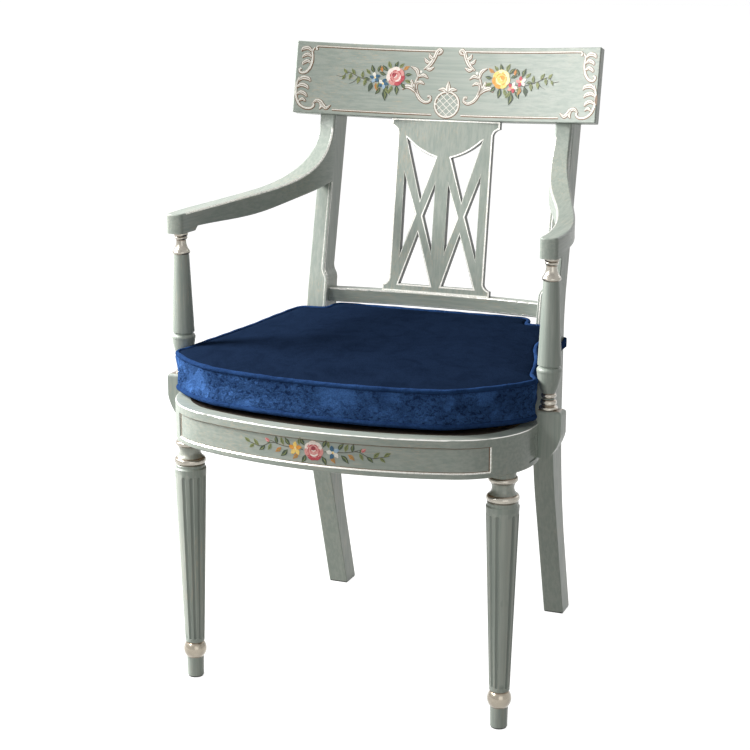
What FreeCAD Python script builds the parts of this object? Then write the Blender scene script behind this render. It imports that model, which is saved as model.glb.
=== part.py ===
import FreeCAD, Part
import math
import os

Vector = FreeCAD.Vector
os.makedirs("parts", exist_ok=True)

# Frame: floor at Z = 0, X across the chair, the sitter faces -Y. Millimetres and degrees.
half_depth = 290.0
top_z = 930.0

# Play between pieces
fit = 0.1
groove_fit = 0.15

# Seat frame: a bowed front, round corners and straight sides that close towards the back
rail_bottom = 380.0
rail_height = 56.0
bow_radius = 604.0
bow_half = 190.0
corner_radius = 122.0
rail_thick = 34.0
rail_round = 2.0
panel_sink = 2.0
panel_rise = 7.5
panel_drop = 12.0
panel_end = 2.5
panel_rear_margin = 10.0
panel_ear_margin = 6.0
back_rail_thick = 30.0

# Front legs: turned and fluted, with the corner block of the seat frame on top
leg_angle = -28.5
leg_half_angle = 14.25
block_depth = 44.0
leg_axis_inset = 19.5
pad_thick = 2.0
pad_inset = 1.0
foot_radius = 12.2
flute_count = 12
flute_rise = 7.0
flute_drop = 13.0
flute_low_radius = 2.6
flute_high_radius = 4.3
flute_sink = 1.7
leg_foot_steps = ((12.8, 31.0, 0), (13.0, 32.5, 0), (13.0, 55.5, 4.3), (14.5, 57.5, 0))
leg_collar_steps = (
    (23.5, 49.5, 0), (21.8, 47.5, 0), (21.8, 44.0, 0), (20.4, 42.5, 0), (20.4, 32.5, 3), (19.0, 31.5, 0),
    (18.0, 15.5, -3), (18.8, 14.5, 0), (18.8, 7.5, 2), (18.0, 7.0, 0), (18.0, 0, 0))

# Rear posts: sabre legs that rise past the seat into the raked back
post_outer = 211.0
post_width = 33.0
post_step = 7.5
post_depth = 52.0
post_round = 1.5
foot_depth = 38.0
foot_kick = 130.0
foot_splay = 17.5
sabre_drop = 2.0
front_bend_rise = 4.0
front_bend_radius = 436.0
back_bend_rise = 54.0
back_bend_radius = 314.0
post_rake = 13.8
shoulder_rise = 10.5
shoulder_height = 24.0
post_drop = 28.0
post_tip_depth = 12.0
post_tip_ease = 6.0

# Crest rail: a bent tablet lapped on the fronts of the posts
crest_half = 252.0
crest_sag = 33.0
crest_thick = 20.5
crest_rake = 12.4
crest_set = 46.6
crest_drop = 112.5
crest_round = 1.5

# Lower back rail and pierced splat
cross_rise = 78.5
cross_height = 23.0
cross_set = 21.0
cross_sag = 13.0
cross_thick = 20.0
cross_round = 1.5
splat_thick = 10.5
splat_foot_set = 36.0
splat_head_set = 82.0
splat_half = 90.5
splat_waist = 79.5
splat_cap = 12.0
splat_foot = 9.5
splat_step = 10.0
splat_round = 0.8
swag_shares = ((0.792, 0.863), (0.506, 0.802), (0.171, 0.763), (0.440, 0.525))
slit_shares = (
    ((0.803, 0.663), (0.535, 0.441), (0.803, 0.211)),
    ((0.143, 0.610), (0.362, 0.432), (0.143, 0.236)),
    ((0.445, 0.335), (0.790, 0.044), (0.128, 0.044)))
tongue_depth = 6.0
tongue_thick = 6.0
tongue_half = 80.0

# Arms and their turned supports
arm_rise_share = 0.61
arm_nose_reach = 23.0
arm_boss_reach = 20.0
arm_nose_round = 7.0
arm_round = 3.0
arm_meets_post_share = 0.251
arm_plan_shares = (
    (0, -20.0, 1.0, 13.0), (0, 24.0, 1.0, 13.8), (0.394, 0, 0.84, 14.0), (0.746, 0, 0.486, 14.2),
    (1, 5.0, 0.143, 16.0), (1, 45.0, 0.012, 13.8), (1, 80.0, 0, 12.8))
arm_under_shares = (
    (0, 26.0, 0.036), (0.352, 0, 0.026), (0.669, 0, 0.05), (0.887, 0, 0.134), (1, 8.0, 0.191))
arm_over_shares = (
    (1, 65.0, 1.03), (1, 54.0, 0.735), (1, 35.0, 0.58), (1, 8.0, 0.449), (0.813, 0, 0.305),
    (0.57, 0, 0.245), (0.296, 0, 0.211), (0, -30.0, 0.197))
support_set = 166.0
ear_reach = 33.8
ear_width = 34.5
support_inset = 22.3
ear_half_depth = 13.0
ear_rise = 7.0
ear_toe = 16.0
ear_bend_drop = 15.0
ear_height = 19.0
ear_round = 6.0
ear_root = 20.0
tenon_radius = 7.0
tenon_length = 16.0
column_low_steps = (
    (12.4, 0, 0), (12.4, 4.0, 1), (9.4, 6.0, -0.5), (9.4, 14.0, 2), (8.0, 14.8, 0), (8.0, 16.0, 0),
    (9.0, 16.6, 0), (9.0, 22.6, 1.5), (9.6, 23.6, 0), (17.2, 53.0, 1.2), (15.6, 60.0, 1.3), (14.2, 61.0, 0),
    (14.2, 62.6, 0), (16.6, 63.6, 0))
column_high_steps = (
    (11.4, 32.6, 0), (12.6, 31.6, 0), (12.6, 27.6, 0.6), (7.4, 11.6, -1.5), (8.6, 10.1, 0), (8.6, 6.6, 1),
    (9.6, 5.6, 0), (9.6, 0, 1))

# Woven seat panel in a rebate, held by a spline
rebate_inset = 22.0
rebate_depth = 3.0
rebate_shelf = 8.0
weave_thick = 1.6
spline_width = 5.0
cane_gap = 0.3

# Dowels and screws
dowel_radius = 4.0
dowel_reach = 18.0
corner_dowel_shares = (0.22, 0.71)
side_dowel_shares = (0.16, 0.61)
back_dowel_shares = (0.38, 0.84)
back_dowel_set = 18.0
slim_dowel_radius = 3.0
cross_dowel_shares = (0.26, 0.74)
cross_dowel_reach = 14.0
crest_dowel_reach = 11.0
crest_dowel_shares = (0.26, 0.66)
screw_radius = 2.2
screw_head_radius = 4.5
screw_head = 3.0
screw_proud = 1.0
support_screw_shares = (0.29, 0.64)
support_screw_length = 50.0
arm_screw_shares = (0.49, 0.75)
arm_screw_bite = 12.0
plug_radius = 6.0
plug_length = 5.0
head_sink = 10.0
corner_block_rise = 4.0
corner_block_drop = 10.0
corner_block_spread = 14.0
corner_block_depth = 24.0
rear_block_reach = 52.0
front_screw_shares = (0.12, 0.88)
rear_screw_shares = (0.3, 0.7)
corner_screw_length = 42.0

# Loose box cushion with a crown, and its ties
cushion_lift_gap = 0.2
cushion_edge = 61.0
cushion_crown = 10.0
cushion_tilt = 1.9
cushion_side_shares = ((0.0, 0.975), (0.1, 0.995), (0.5, 0.985), (0.9, 1.0), (1.0, 0.985))
cushion_dome_shares = ((0.45, 0.86), (0.8, 0.6), (1.0, 0.3))
cushion_shift = -2.0
cushion_lag = 22.0
cushion_set = 37.0
cushion_tab_reach = 28.0
cushion_tab_gap = 14.0
cushion_tab_radius = 12.0
cushion_notch_gap = 10.5
cushion_notch_radius = 5.0
cushion_bow_inset = 22.0
cushion_bow_set = 18.0
cushion_side_reach = 3.0
cushion_side_stop = 32.0
cushion_turn_inset = 4.0
cushion_turn_set = 5.5
cushion_turn_width = 21.0
cushion_corner_share = 0.55
cushion_corner_bulge = (0.2, -9.5)
cushion_ear_steps = ((-5.5, -48.0), (-0.5, -38.0), (-9.5, -28.0))
cushion_tuck_rise = 16.0
cushion_tuck_left = 10.0
cushion_tuck_right = 15.5
tie_rise = 30.0
tie_width = 15.0
tie_thick = 1.8
tie_play = 0.5
bow_width = 40.0
bow_height = 30.0
bow_thick = 4.5


def line(a, b):
    return Part.LineSegment(a, b).toShape()


def arc(a, b, c):
    return Part.Arc(a, b, c).toShape()


def curve(points):
    spline = Part.BSplineCurve()
    spline.interpolate(points)
    return spline.toShape()


def chain(edges):
    return Part.Face(Part.Wire(edges))


def polygon(points):
    return Part.Face(Part.makePolygon(points + points[:1]))


def prism(face, low, high):
    solid = face.extrude(Vector(0, 0, high - low))
    solid.translate(Vector(0, 0, low))
    return solid


def mirrored(shape):
    return shape.mirror(Vector(0, 0, 0), Vector(1, 0, 0))


def pin(radius, start, end):
    along = end - start
    return Part.makeCylinder(radius, along.Length, start, along)


def rounded(shape, radius, wanted):
    return shape.makeFillet(radius, [edge for edge in shape.Edges if wanted(edge)])


def screw(start, way, length, play):
    """Plain screw driven along way, with the top of its head at start."""
    shank = pin(screw_radius + play, start, start + way * (length + play))
    return shank.fuse(pin(screw_head_radius + play, start - way * play, start + way * (screw_head + play)))


def both_sides(solids):
    return Part.Compound(solids + [mirrored(solid) for solid in solids])


def save(name, shape):
    shape.exportStep("parts/" + name + ".step")


def save_pair(name, right):
    save(name + "_right", right)
    save(name + "_left", mirrored(right))


def turning(steps):
    """Turned solid about Z through (radius, height, swell) steps; swell bows the stretch below a step."""
    radius, height = steps[0][:2]
    last = Vector(radius, 0, height)
    edges = [line(Vector(0, 0, height), last)]
    for radius, height, swell in steps[1:]:
        point = Vector(radius, 0, height)
        if swell:
            along = (point - last).normalize()
            middle = (last + point) * 0.5 + Vector(along.z, 0, -along.x) * swell
            edges.append(arc(last, middle, point))
        else:
            edges.append(line(last, point))
        last = point
    top = Vector(0, 0, last.z)
    edges += [line(last, top), line(top, edges[0].Vertexes[0].Point)]
    return chain(edges).revolve(Vector(0, 0, 0), Vector(0, 0, 1), 360)


class Outline:
    """Plan of a bowed seat: front arc, tangent corner arcs, and sides tangent to them."""

    def __init__(self, front, bow, half, corner, rear_point):
        self.bow = bow
        self.corner = corner
        self.bow_centre = Vector(0, front + bow, 0)
        self.spread = math.degrees(math.asin(half / bow))
        lean = math.radians(self.spread)
        toward = Vector(math.sin(lean), -math.cos(lean), 0)
        self.corner_centre = self.bow_centre + toward * (bow - corner)
        reach = rear_point - self.corner_centre
        turn = math.atan2(reach.y, reach.x) - math.acos(corner / reach.Length)
        self.side = math.degrees(turn)
        self.side_way = Vector(-math.sin(turn), math.cos(turn), 0)

    def at(self, angle, inset=0.0):
        turn = math.radians(angle)
        return self.corner_centre + Vector(math.cos(turn), math.sin(turn), 0) * (self.corner - inset)

    def corner_arc(self, start, end, inset):
        return arc(self.at(start, inset), self.at((start + end) / 2, inset), self.at(end, inset))

    def bow_arc(self, inset):
        right = self.at(self.spread - 90, inset)
        apex = Vector(0, self.bow_centre.y - self.bow + inset, 0)
        return arc(Vector(-right.x, right.y, 0), apex, right)

    def side_end(self, inset, y):
        start = self.at(self.side, inset)
        return start + self.side_way * ((y - start.y) / self.side_way.y)

    def rims(self, shape):
        """Edges of a prism on this plan that run along its outline."""
        found = []
        for edge in shape.Edges:
            middle = edge.discretize(3)[1]
            point = Vector(abs(middle.x), middle.y, 0)
            reach = point - self.corner_centre
            angle = math.degrees(math.atan2(reach.y, reach.x))
            if angle < self.spread - 90:
                gap = (point - self.bow_centre).Length - self.bow
            elif angle < self.side:
                gap = reach.Length - self.corner
            else:
                gap = (point - self.at(self.side)).dot(self.at(self.side) - self.corner_centre) / self.corner
            if max(abs(gap), edge.BoundBox.ZLength) < 0.01:
                found.append(edge)
        return found

    def front_band(self, outer, inner, angle):
        """Face between two insets, from the left corner at an angle to the right one."""
        edges = []
        for inset in (outer, inner):
            right = self.corner_arc(self.spread - 90, angle, inset)
            edges += [mirrored(right), self.bow_arc(inset), right]
        ends = line(self.at(angle, outer), self.at(angle, inner))
        return chain(Part.__sortEdges__(edges + [ends, mirrored(ends)]))

    def side_band(self, outer, inner, angle, rear):
        """Face between two insets of the right side, from a corner angle back to a given Y."""
        edges = []
        for inset in (outer, inner):
            edges.append(self.corner_arc(angle, self.side, inset))
            edges.append(line(self.at(self.side, inset), self.side_end(inset, rear)))
        edges.append(line(self.at(angle, outer), self.at(angle, inner)))
        edges.append(line(self.side_end(outer, rear), self.side_end(inner, rear)))
        return chain(Part.__sortEdges__(edges))

    def sector(self, outer, inner, start, end):
        """Face of a corner between two angles and two insets."""
        edges = [self.corner_arc(start, end, outer), line(self.at(end, outer), self.at(end, inner))]
        edges += [self.corner_arc(end, start, inner), line(self.at(start, inner), self.at(start, outer))]
        return chain(edges)

    def whole(self, inset, rear):
        """Face of the whole plan inside an inset, closed by a straight back."""
        end = self.side_end(inset, rear)
        right = [self.corner_arc(self.spread - 90, self.side, inset), line(self.at(self.side, inset), end)]
        edges = [self.bow_arc(inset)] + right + [mirrored(edge) for edge in right]
        edges.append(line(end, Vector(-end.x, end.y, 0)))
        return chain(Part.__sortEdges__(edges))


def shares_of(shares, low, high):
    return [low + share * (high - low) for share in shares]


# Places that follow from the sizes above
rail_top = rail_bottom + rail_height
post_front = half_depth - foot_kick
post_back = post_front + post_depth
foot_front = half_depth - foot_depth
post_inner = post_outer - post_width
post_slim_inner = post_inner + post_step
post_x = (post_slim_inner + post_outer) / 2
post_flat_low = rail_bottom - sabre_drop
post_top = top_z - post_drop
crest_low_y = post_front + crest_set
crest_low_z = top_z - crest_drop
cross_front = post_front + cross_set
cross_low = rail_top + cross_rise
cross_high = cross_low + cross_height
shoulder_low = cross_high + shoulder_rise
shoulder_high = shoulder_low + shoulder_height
splat_foot_y = post_front + splat_foot_set
splat_head_y = post_front + splat_head_set
rebate_rear = post_front + rebate_shelf
seat = Outline(-half_depth, bow_radius, bow_half, corner_radius, Vector(post_outer, post_front, 0))
front_joint = leg_angle - leg_half_angle
side_joint = leg_angle + leg_half_angle
support_y = support_set - half_depth
rail_face = seat.side_end(0, support_y).x
ear_outer = rail_face + ear_reach
ear_inner = ear_outer - ear_width
ear_low = rail_bottom + ear_rise
ear_bend = rail_top - ear_bend_drop
ear_top = rail_top + ear_height
support_x = ear_outer - support_inset
arm_low = rail_top + arm_rise_share * (crest_low_z - rail_top)
arm_run = post_front - support_y
arm_sweep = crest_low_z - arm_low

# Dowel holes of the seat frame: joint centre, direction across the joint, heights
mid_rail = rail_thick / 2
seat_joints = []
for joint_angle in (front_joint, side_joint):
    across = Vector(-math.sin(math.radians(joint_angle)), math.cos(math.radians(joint_angle)), 0)
    heights = shares_of(corner_dowel_shares, rail_bottom, rail_top)
    seat_joints.append((seat.at(joint_angle, mid_rail), across, heights))
post_middle = Vector((post_inner + post_outer) / 2, post_front, 0)
seat_joints.append((post_middle, Vector(0, 1, 0), shares_of(side_dowel_shares, rail_bottom, rail_top)))
back_end = Vector(post_inner, post_front + back_dowel_set, 0)
seat_joints.append((back_end, Vector(1, 0, 0), shares_of(back_dowel_shares, rail_bottom, rail_top)))


def seat_dowels(play):
    pins = []
    for centre, across, heights in seat_joints:
        reach = across * (dowel_reach + play)
        for height in heights:
            middle = centre + Vector(0, 0, height)
            pins.append(pin(dowel_radius + play, middle - reach, middle + reach))
    return pins


save("seat_dowels", both_sides(seat_dowels(0)))
seat_holes = Part.Compound(seat_dowels(fit))

# Corner blocks inside the seat frame, each with two screws
leg_axis = seat.at(leg_angle, leg_axis_inset)
inward = (seat.corner_centre - leg_axis).normalize()
block_start = front_joint - corner_block_spread
block_stop = side_joint + corner_block_spread
near = [seat.at(angle, rail_thick) for angle in (block_start, block_stop)]
far = [point + inward * corner_block_depth for point in near]
front_block = chain([
    seat.corner_arc(block_start, block_stop, rail_thick), line(near[1], far[1]), line(far[1], far[0]),
    line(far[0], near[0])])
leg_head = prism(seat.sector(0, block_depth, front_joint, side_joint), rail_bottom, rail_top)
corner_block_low = rail_bottom + corner_block_rise
corner_block_high = rail_top - corner_block_drop
front_block = prism(front_block, corner_block_low, corner_block_high).cut(leg_head)
rear_corner = [seat.side_end(rail_thick, post_front - reach) for reach in (0, rear_block_reach)]
rear_corner.append(rear_corner[0] - Vector(rear_block_reach, 0, 0))
rear_block = prism(polygon(rear_corner), corner_block_low, corner_block_high)
block_middle = Vector(0, 0, (corner_block_low + corner_block_high) / 2)
corner_drives = [(far[0] + (far[1] - far[0]) * share, inward * -1) for share in front_screw_shares]
for share, way in zip(rear_screw_shares, (Vector(1, 0, 0), Vector(0, 1, 0))):
    corner_drives.append((rear_corner[1] + (rear_corner[2] - rear_corner[1]) * share, way))


def corner_screws(play):
    starts = [(point + block_middle - way * screw_proud, way) for point, way in corner_drives]
    return [screw(start, way, corner_screw_length, play) for start, way in starts]


corner_holes = Part.Compound(corner_screws(fit))
head_ways = []
for point, way in corner_drives:
    middle = point + block_middle
    head_ways.append(pin(screw_head_radius + fit, middle - way * 2 * screw_head_radius, middle))
save_pair("front_corner_block", front_block.cut(corner_holes))
save_pair("rear_corner_block", rear_block.cut(corner_holes).cut(Part.Compound(head_ways)))
save("corner_block_screws", both_sides(corner_screws(0)))

rebate = prism(seat.whole(rebate_inset, rebate_rear), rail_top - rebate_depth, rail_top + 1)

# Front seat rail with its sunk panel
front_rail = prism(seat.front_band(0, rail_thick, front_joint), rail_bottom, rail_top)
front_rail = front_rail.makeFillet(rail_round, seat.rims(front_rail))
panel = seat.front_band(-1, panel_sink, front_joint - panel_end)
panel = prism(panel, rail_bottom + panel_rise, rail_top - panel_drop)
for holes in (seat_holes, corner_holes):
    front_rail = front_rail.cut(holes).cut(mirrored(holes))
front_rail = front_rail.cut(panel).cut(rebate)
save("front_seat_rail", front_rail)

# Side seat rails, panelled behind the arm supports
side_mass = prism(seat.side_band(0, rail_thick, side_joint, post_front), rail_bottom, rail_top)
side_mass = side_mass.makeFillet(rail_round, seat.rims(side_mass))
side_panel = seat.side_band(-1, panel_sink, side_joint + panel_end, post_front - panel_rear_margin)
side_panel = prism(side_panel, rail_bottom + panel_rise, rail_top - panel_drop)
ear_zone = Part.makeBox(2 * rail_thick, 2 * (ear_half_depth + panel_ear_margin), rail_top)
ear_zone.translate(Vector(support_x - rail_thick, support_y - ear_half_depth - panel_ear_margin, 0))
support_head_x = seat.side_end(rail_thick, support_y).x - screw_proud


def support_screws(play):
    heights = shares_of(support_screw_shares, rail_bottom, rail_top)
    starts = [Vector(support_head_x, support_y, height) for height in heights]
    return [screw(start, Vector(1, 0, 0), support_screw_length, play) for start in starts]


support_holes = Part.Compound(support_screws(fit))
side_rail = side_mass.cut(side_panel.cut(ear_zone)).cut(rebate)
side_rail = side_rail.cut(seat_holes).cut(support_holes).cut(corner_holes)
save_pair("side_seat_rail", side_rail)
save("arm_support_screws", both_sides(support_screws(0)))

# Back seat rail between the posts
back_rail = Part.makeBox(2 * post_inner, back_rail_thick, rail_top - rail_bottom)
back_rail.translate(Vector(-post_inner, post_front, rail_bottom))
for holes in (seat_holes, corner_holes):
    back_rail = back_rail.cut(holes).cut(mirrored(holes))
save("back_seat_rail", back_rail.cut(rebate))

# Woven panel and the spline that holds its edge
weave_low = rail_top - rebate_depth
weave_high = weave_low + weave_thick


def weave(margin, low, high):
    """Slab inside a margin from the rebate's wall, notched round the posts."""
    slab = prism(seat.whole(rebate_inset + margin, rebate_rear - margin), low, high)
    notch = Part.makeBox(post_width, post_depth, high - low)
    notch.translate(Vector(post_inner - margin, post_front - margin, low))
    return slab.cut(notch).cut(mirrored(notch))


save("cane_panel", weave(cane_gap, weave_low, weave_high))
spline_ring = weave(cane_gap, weave_high, rail_top).cut(weave(cane_gap + spline_width, weave_high, rail_top))
save("cane_spline", spline_ring)

# Front legs
leg_steps = [(foot_radius, pad_thick, 0)] + list(leg_foot_steps)
leg_steps += [(radius, rail_bottom - drop, swell) for radius, drop, swell in leg_collar_steps]
shaft_low = leg_foot_steps[-1]
shaft_high = (leg_collar_steps[0][0], rail_bottom - leg_collar_steps[0][1])


def flute(turn):
    slope = (shaft_high[0] - shaft_low[0]) / (shaft_high[1] - shaft_low[1])
    low = (shaft_low[1] + flute_rise, flute_low_radius)
    high = (shaft_high[1] - flute_drop, flute_high_radius)
    ends = []
    for height, radius in (low, high):
        reach = shaft_low[0] + slope * (height - shaft_low[1]) + radius - flute_sink
        ends.append(Vector(reach * math.cos(turn), reach * math.sin(turn), height))
    along = ends[1] - ends[0]
    cutter = Part.makeCone(flute_low_radius, flute_high_radius, along.Length, ends[0], along)
    low_end = Part.makeSphere(flute_low_radius, ends[0])
    high_end = Part.makeSphere(flute_high_radius, ends[1])
    return cutter.fuse(low_end).fuse(high_end)


leg = turning(leg_steps)
leg = leg.cut([flute(2 * math.pi * turn / flute_count) for turn in range(flute_count)])
leg.translate(Vector(leg_axis.x, leg_axis.y, 0))
leg_head = leg_head.makeFillet(rail_round, seat.rims(leg_head))
leg = leg.fuse(leg_head.cut(rebate)).cut(seat_holes).cut(corner_holes)
save_pair("front_leg", leg)

# Rear posts
def post_edge(flat_y, foot_y, bend_z, bend_radius, end_z):
    """Points of one edge in the YZ plane, foot to top: line, sabre arc, upright, arc, raked line."""
    splay = math.radians(foot_splay)
    rake = math.radians(post_rake)
    swing = (post_flat_low - pad_thick) * math.tan(splay) - (foot_y - flat_y)
    radius = swing / (math.sin(splay) * math.tan(splay) - 1 + math.cos(splay))

    def low(turn):
        return Vector(0, flat_y + radius * (1 - math.cos(turn)), post_flat_low - radius * math.sin(turn))

    def high(turn):
        return Vector(0, flat_y + bend_radius * (1 - math.cos(turn)), bend_z + bend_radius * math.sin(turn))

    end = high(rake)
    top = end + Vector(0, math.tan(rake), 1) * (end_z - end.z)
    lower = [Vector(0, foot_y, pad_thick), low(splay), low(splay / 2), low(0)]
    return lower + [high(0), high(rake / 2), end, top]


def post_side(points):
    foot, splayed, swing, upright, bend_start, bend_mid, bend_end, top = points
    low = [line(foot, splayed), arc(splayed, swing, upright), line(upright, bend_start)]
    return low + [arc(bend_start, bend_mid, bend_end), line(bend_end, top)]


def raked_y(points, height):
    """Y of a post edge at a height in its raked stretch."""
    return points[-1].y - (points[-1].z - height) * math.tan(math.radians(post_rake))


front_edge = post_edge(post_front, foot_front, rail_top + front_bend_rise, front_bend_radius, post_top)
back_edge = post_edge(post_back, half_depth, rail_top + back_bend_rise, back_bend_radius, crest_low_z)
post_tip = Vector(0, front_edge[-1].y + post_tip_depth, post_top)
tip_swell = Vector(0, half_depth - post_tip_ease, (crest_low_z + post_top) / 2)
profile = post_side(front_edge) + post_side(back_edge) + [line(front_edge[0], back_edge[0])]
profile += [line(front_edge[-1], post_tip), arc(post_tip, tip_swell, back_edge[-1])]
post = chain(Part.__sortEdges__(profile)).extrude(Vector(post_outer - post_inner, 0, 0))
post.translate(Vector(post_inner, 0, 0))

# Inner face of the post steps in through an ogee above the lower back rail
ogee_step = (post_slim_inner - post_inner) / 2
ogee_rise = (shoulder_high - shoulder_low) / 2
ogee_radius = (ogee_rise ** 2 + ogee_step ** 2) / (2 * ogee_step)
ogee_turn = math.asin(ogee_rise / ogee_radius) / 2
ogee_part = Vector(ogee_radius * (1 - math.cos(ogee_turn)), 0, ogee_radius * math.sin(ogee_turn))
ogee_low = Vector(post_inner, 0, shoulder_low)
ogee_high = Vector(post_slim_inner, 0, shoulder_high)
ogee_mid = (ogee_low + ogee_high) * 0.5
waste = [ogee_high, Vector(post_slim_inner, 0, top_z), Vector(post_inner, 0, top_z), ogee_low]
slimming = [line(a, b) for a, b in zip(waste, waste[1:])]
slimming.append(arc(ogee_low, ogee_low + ogee_part, ogee_mid))
slimming.append(arc(ogee_mid, ogee_high - ogee_part, ogee_high))
post = post.cut(chain(slimming).extrude(Vector(0, 2 * half_depth, 0)))


def on_post_side(edge):
    """Long edges of the post, along its front and back; the ends stay sharp."""
    box = edge.BoundBox
    return box.ZLength > 1 and box.ZMax < crest_low_z + 1


post = rounded(post, post_round, on_post_side)

# Crest rail
crest_height = (top_z - crest_low_z) / math.cos(math.radians(crest_rake))
crest_radius = (crest_half ** 2 + crest_sag ** 2) / (2 * crest_sag)


def crest_depth(x, back):
    """Depth of the crest behind the chord of its front ends, at x and a given thickness."""
    return math.sqrt((crest_radius + back) ** 2 - x ** 2) - crest_radius + crest_sag


def raked(shape):
    """Carry a shape from the crest's own upright frame to its place on the back."""
    shape.rotate(Vector(0, 0, 0), Vector(1, 0, 0), -crest_rake)
    shape.translate(Vector(0, crest_low_y, crest_low_z))
    return shape


front_right = Vector(crest_half, 0, 0)
front_left = Vector(-crest_half, 0, 0)
back_right = Vector(crest_half, crest_depth(crest_half, crest_thick), 0)
back_left = Vector(-crest_half, back_right.y, 0)
crest = chain([
    arc(front_left, Vector(0, crest_sag, 0), front_right),
    line(front_right, back_right),
    arc(back_right, Vector(0, crest_sag + crest_thick, 0), back_left),
    line(back_left, front_left)]).extrude(Vector(0, 0, crest_height))
above_crest_foot = Part.makeBox(2 * crest_half, 2 * crest_half, crest_height)
above_crest_foot.translate(Vector(-crest_half, -crest_half, 0))
above_crest_foot = raked(above_crest_foot)
lap_depth = crest_depth(post_x, crest_thick)


def crest_dowels(play):
    pins = []
    for rise in shares_of(crest_dowel_shares, 0, crest_height):
        start = Vector(post_x, lap_depth - crest_dowel_reach - play, rise)
        pins.append(pin(dowel_radius + play, start, start + Vector(0, 2 * (crest_dowel_reach + play), 0)))
    return [raked(dowel) for dowel in pins]


crest_blank = raked(crest.copy())
crest = raked(rounded(crest, crest_round, lambda edge: True))
crest_holes = Part.Compound(crest_dowels(fit))
save("crest_dowels", both_sides(crest_dowels(0)))

# Splat: two crosses pierced side by side between ogee shoulders, tongued into the rails
splat_rake = math.degrees(math.atan2(splat_head_y - splat_foot_y, crest_low_z - cross_high))
splat_head = (crest_low_z - cross_high) / math.cos(math.radians(splat_rake))
shoulder_drop = crest_sag * math.sin(math.radians(crest_rake))


def splat_place(shape):
    shape.rotate(Vector(0, 0, 0), Vector(1, 0, 0), -splat_rake)
    shape.translate(Vector(0, splat_foot_y, cross_high))
    return shape


def up(point):
    return Vector(point[0], 0, point[1])


def pierced_at(shares):
    return Vector(shares[0] * splat_waist, 0, shares[1] * splat_head)


neck = splat_head - shoulder_drop - splat_cap
waist_low = (splat_waist, splat_foot + splat_step)
waist_high = (splat_waist, neck - splat_step)
ease = splat_step / 4
corners = [(splat_half, -splat_cap), (splat_half, splat_foot), waist_low, waist_high, (splat_half, neck),
           (splat_half, splat_head + splat_cap)]
corners = [up(corner) for corner in corners]
half_outline = [
    line(corners[0], corners[1]),
    arc(corners[1], up((splat_waist + ease, splat_foot + 2 * ease)), corners[2]),
    line(corners[2], corners[3]),
    arc(corners[3], up((splat_waist + ease, neck - 2 * ease)), corners[4]),
    line(corners[4], corners[5])]
splat_ends = [line(corner, mirrored(Part.Vertex(corner)).Point) for corner in (corners[0], corners[5])]
outline = half_outline + [mirrored(edge) for edge in half_outline] + splat_ends
splat = chain(Part.__sortEdges__(outline)).extrude(Vector(0, splat_thick, 0))
swag_high, swag_dip, swag_low, swag_tip = [pierced_at(point) for point in swag_shares]
swag_opening = chain([
    arc(swag_high, swag_dip, swag_low), line(swag_low, swag_tip), line(swag_tip, swag_high)])
for opening in [swag_opening] + [polygon([pierced_at(point) for point in slit]) for slit in slit_shares]:
    cutter = opening.extrude(Vector(0, splat_thick, 0))
    splat = splat.cut(cutter).cut(mirrored(cutter))
pierced = splat_waist - splat_foot


def on_opening(edge):
    box = edge.BoundBox
    return box.YMax < splat_round / 2 and max(-box.XMin, box.XMax) < pierced and box.ZMin > splat_foot


splat = splat.makeChamfer(splat_round, [edge for edge in splat.Edges if on_opening(edge)])
splat = splat_place(splat)
below_cross_top = Part.makeBox(4 * splat_half, 4 * splat_half, splat_half)
below_cross_top.translate(Vector(-2 * splat_half, 0, cross_high - splat_half))
splat = splat.cut(above_crest_foot).cut(below_cross_top)


def tongue(start, play):
    """Tongue of the splat, centred in its thickness, from one tongue depth below start to as far above."""
    thick = tongue_thick + 2 * play
    box = Part.makeBox(2 * (tongue_half + play), thick, 2 * (tongue_depth + play))
    box.translate(Vector(-tongue_half - play, (splat_thick - thick) / 2, start - tongue_depth - play))
    return splat_place(box)


head_rise = splat_head - shoulder_drop
splat = splat.fuse(tongue(0, 0)).fuse(tongue(head_rise, 0)).removeSplitter()
save("splat", splat)
crest = crest.cut(tongue(head_rise, groove_fit)).cut(crest_holes).cut(mirrored(crest_holes))
save("crest_rail", crest)

# Lower back rail, bent like the crest
cross_arcs = []
for back in (0, cross_thick):
    end = Vector(post_inner, cross_front + back, 0)
    middle = Vector(0, cross_front + cross_sag + back, 0)
    cross_arcs.append(arc(Vector(-end.x, end.y, 0), middle, end))
cross_end = line(Vector(post_inner, cross_front, 0), Vector(post_inner, cross_front + cross_thick, 0))
cross_plan = chain(Part.__sortEdges__(cross_arcs + [cross_end, mirrored(cross_end)]))
cross_rail = prism(cross_plan, cross_low, cross_high)


def cross_dowels(play):
    pins = []
    for height in shares_of(cross_dowel_shares, cross_low, cross_high):
        middle = Vector(post_inner, cross_front + cross_thick / 2, height)
        reach = Vector(cross_dowel_reach + play, 0, 0)
        pins.append(pin(slim_dowel_radius + play, middle - reach, middle + reach))
    return pins


cross_holes = Part.Compound(cross_dowels(fit))
cross_rail = rounded(cross_rail, cross_round, lambda edge: abs(edge.tangentAt(edge.FirstParameter).x) > 0.5)
cross_rail = cross_rail.cut(tongue(0, groove_fit)).cut(cross_holes).cut(mirrored(cross_holes))
save("lower_back_rail", cross_rail)
save("lower_rail_dowels", both_sides(cross_dowels(0)))

# Arm screws driven from the back of each post, under wooden plugs
arm_screw_heights = shares_of(arm_screw_shares, arm_low, crest_low_z)


def arm_screws(play):
    screws = []
    for height in arm_screw_heights:
        start = Vector(post_x, raked_y(back_edge, height) - head_sink, height)
        length = start.y - raked_y(front_edge, height) + arm_screw_bite
        screws.append(screw(start, Vector(0, -1, 0), length, play))
    return screws


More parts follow.
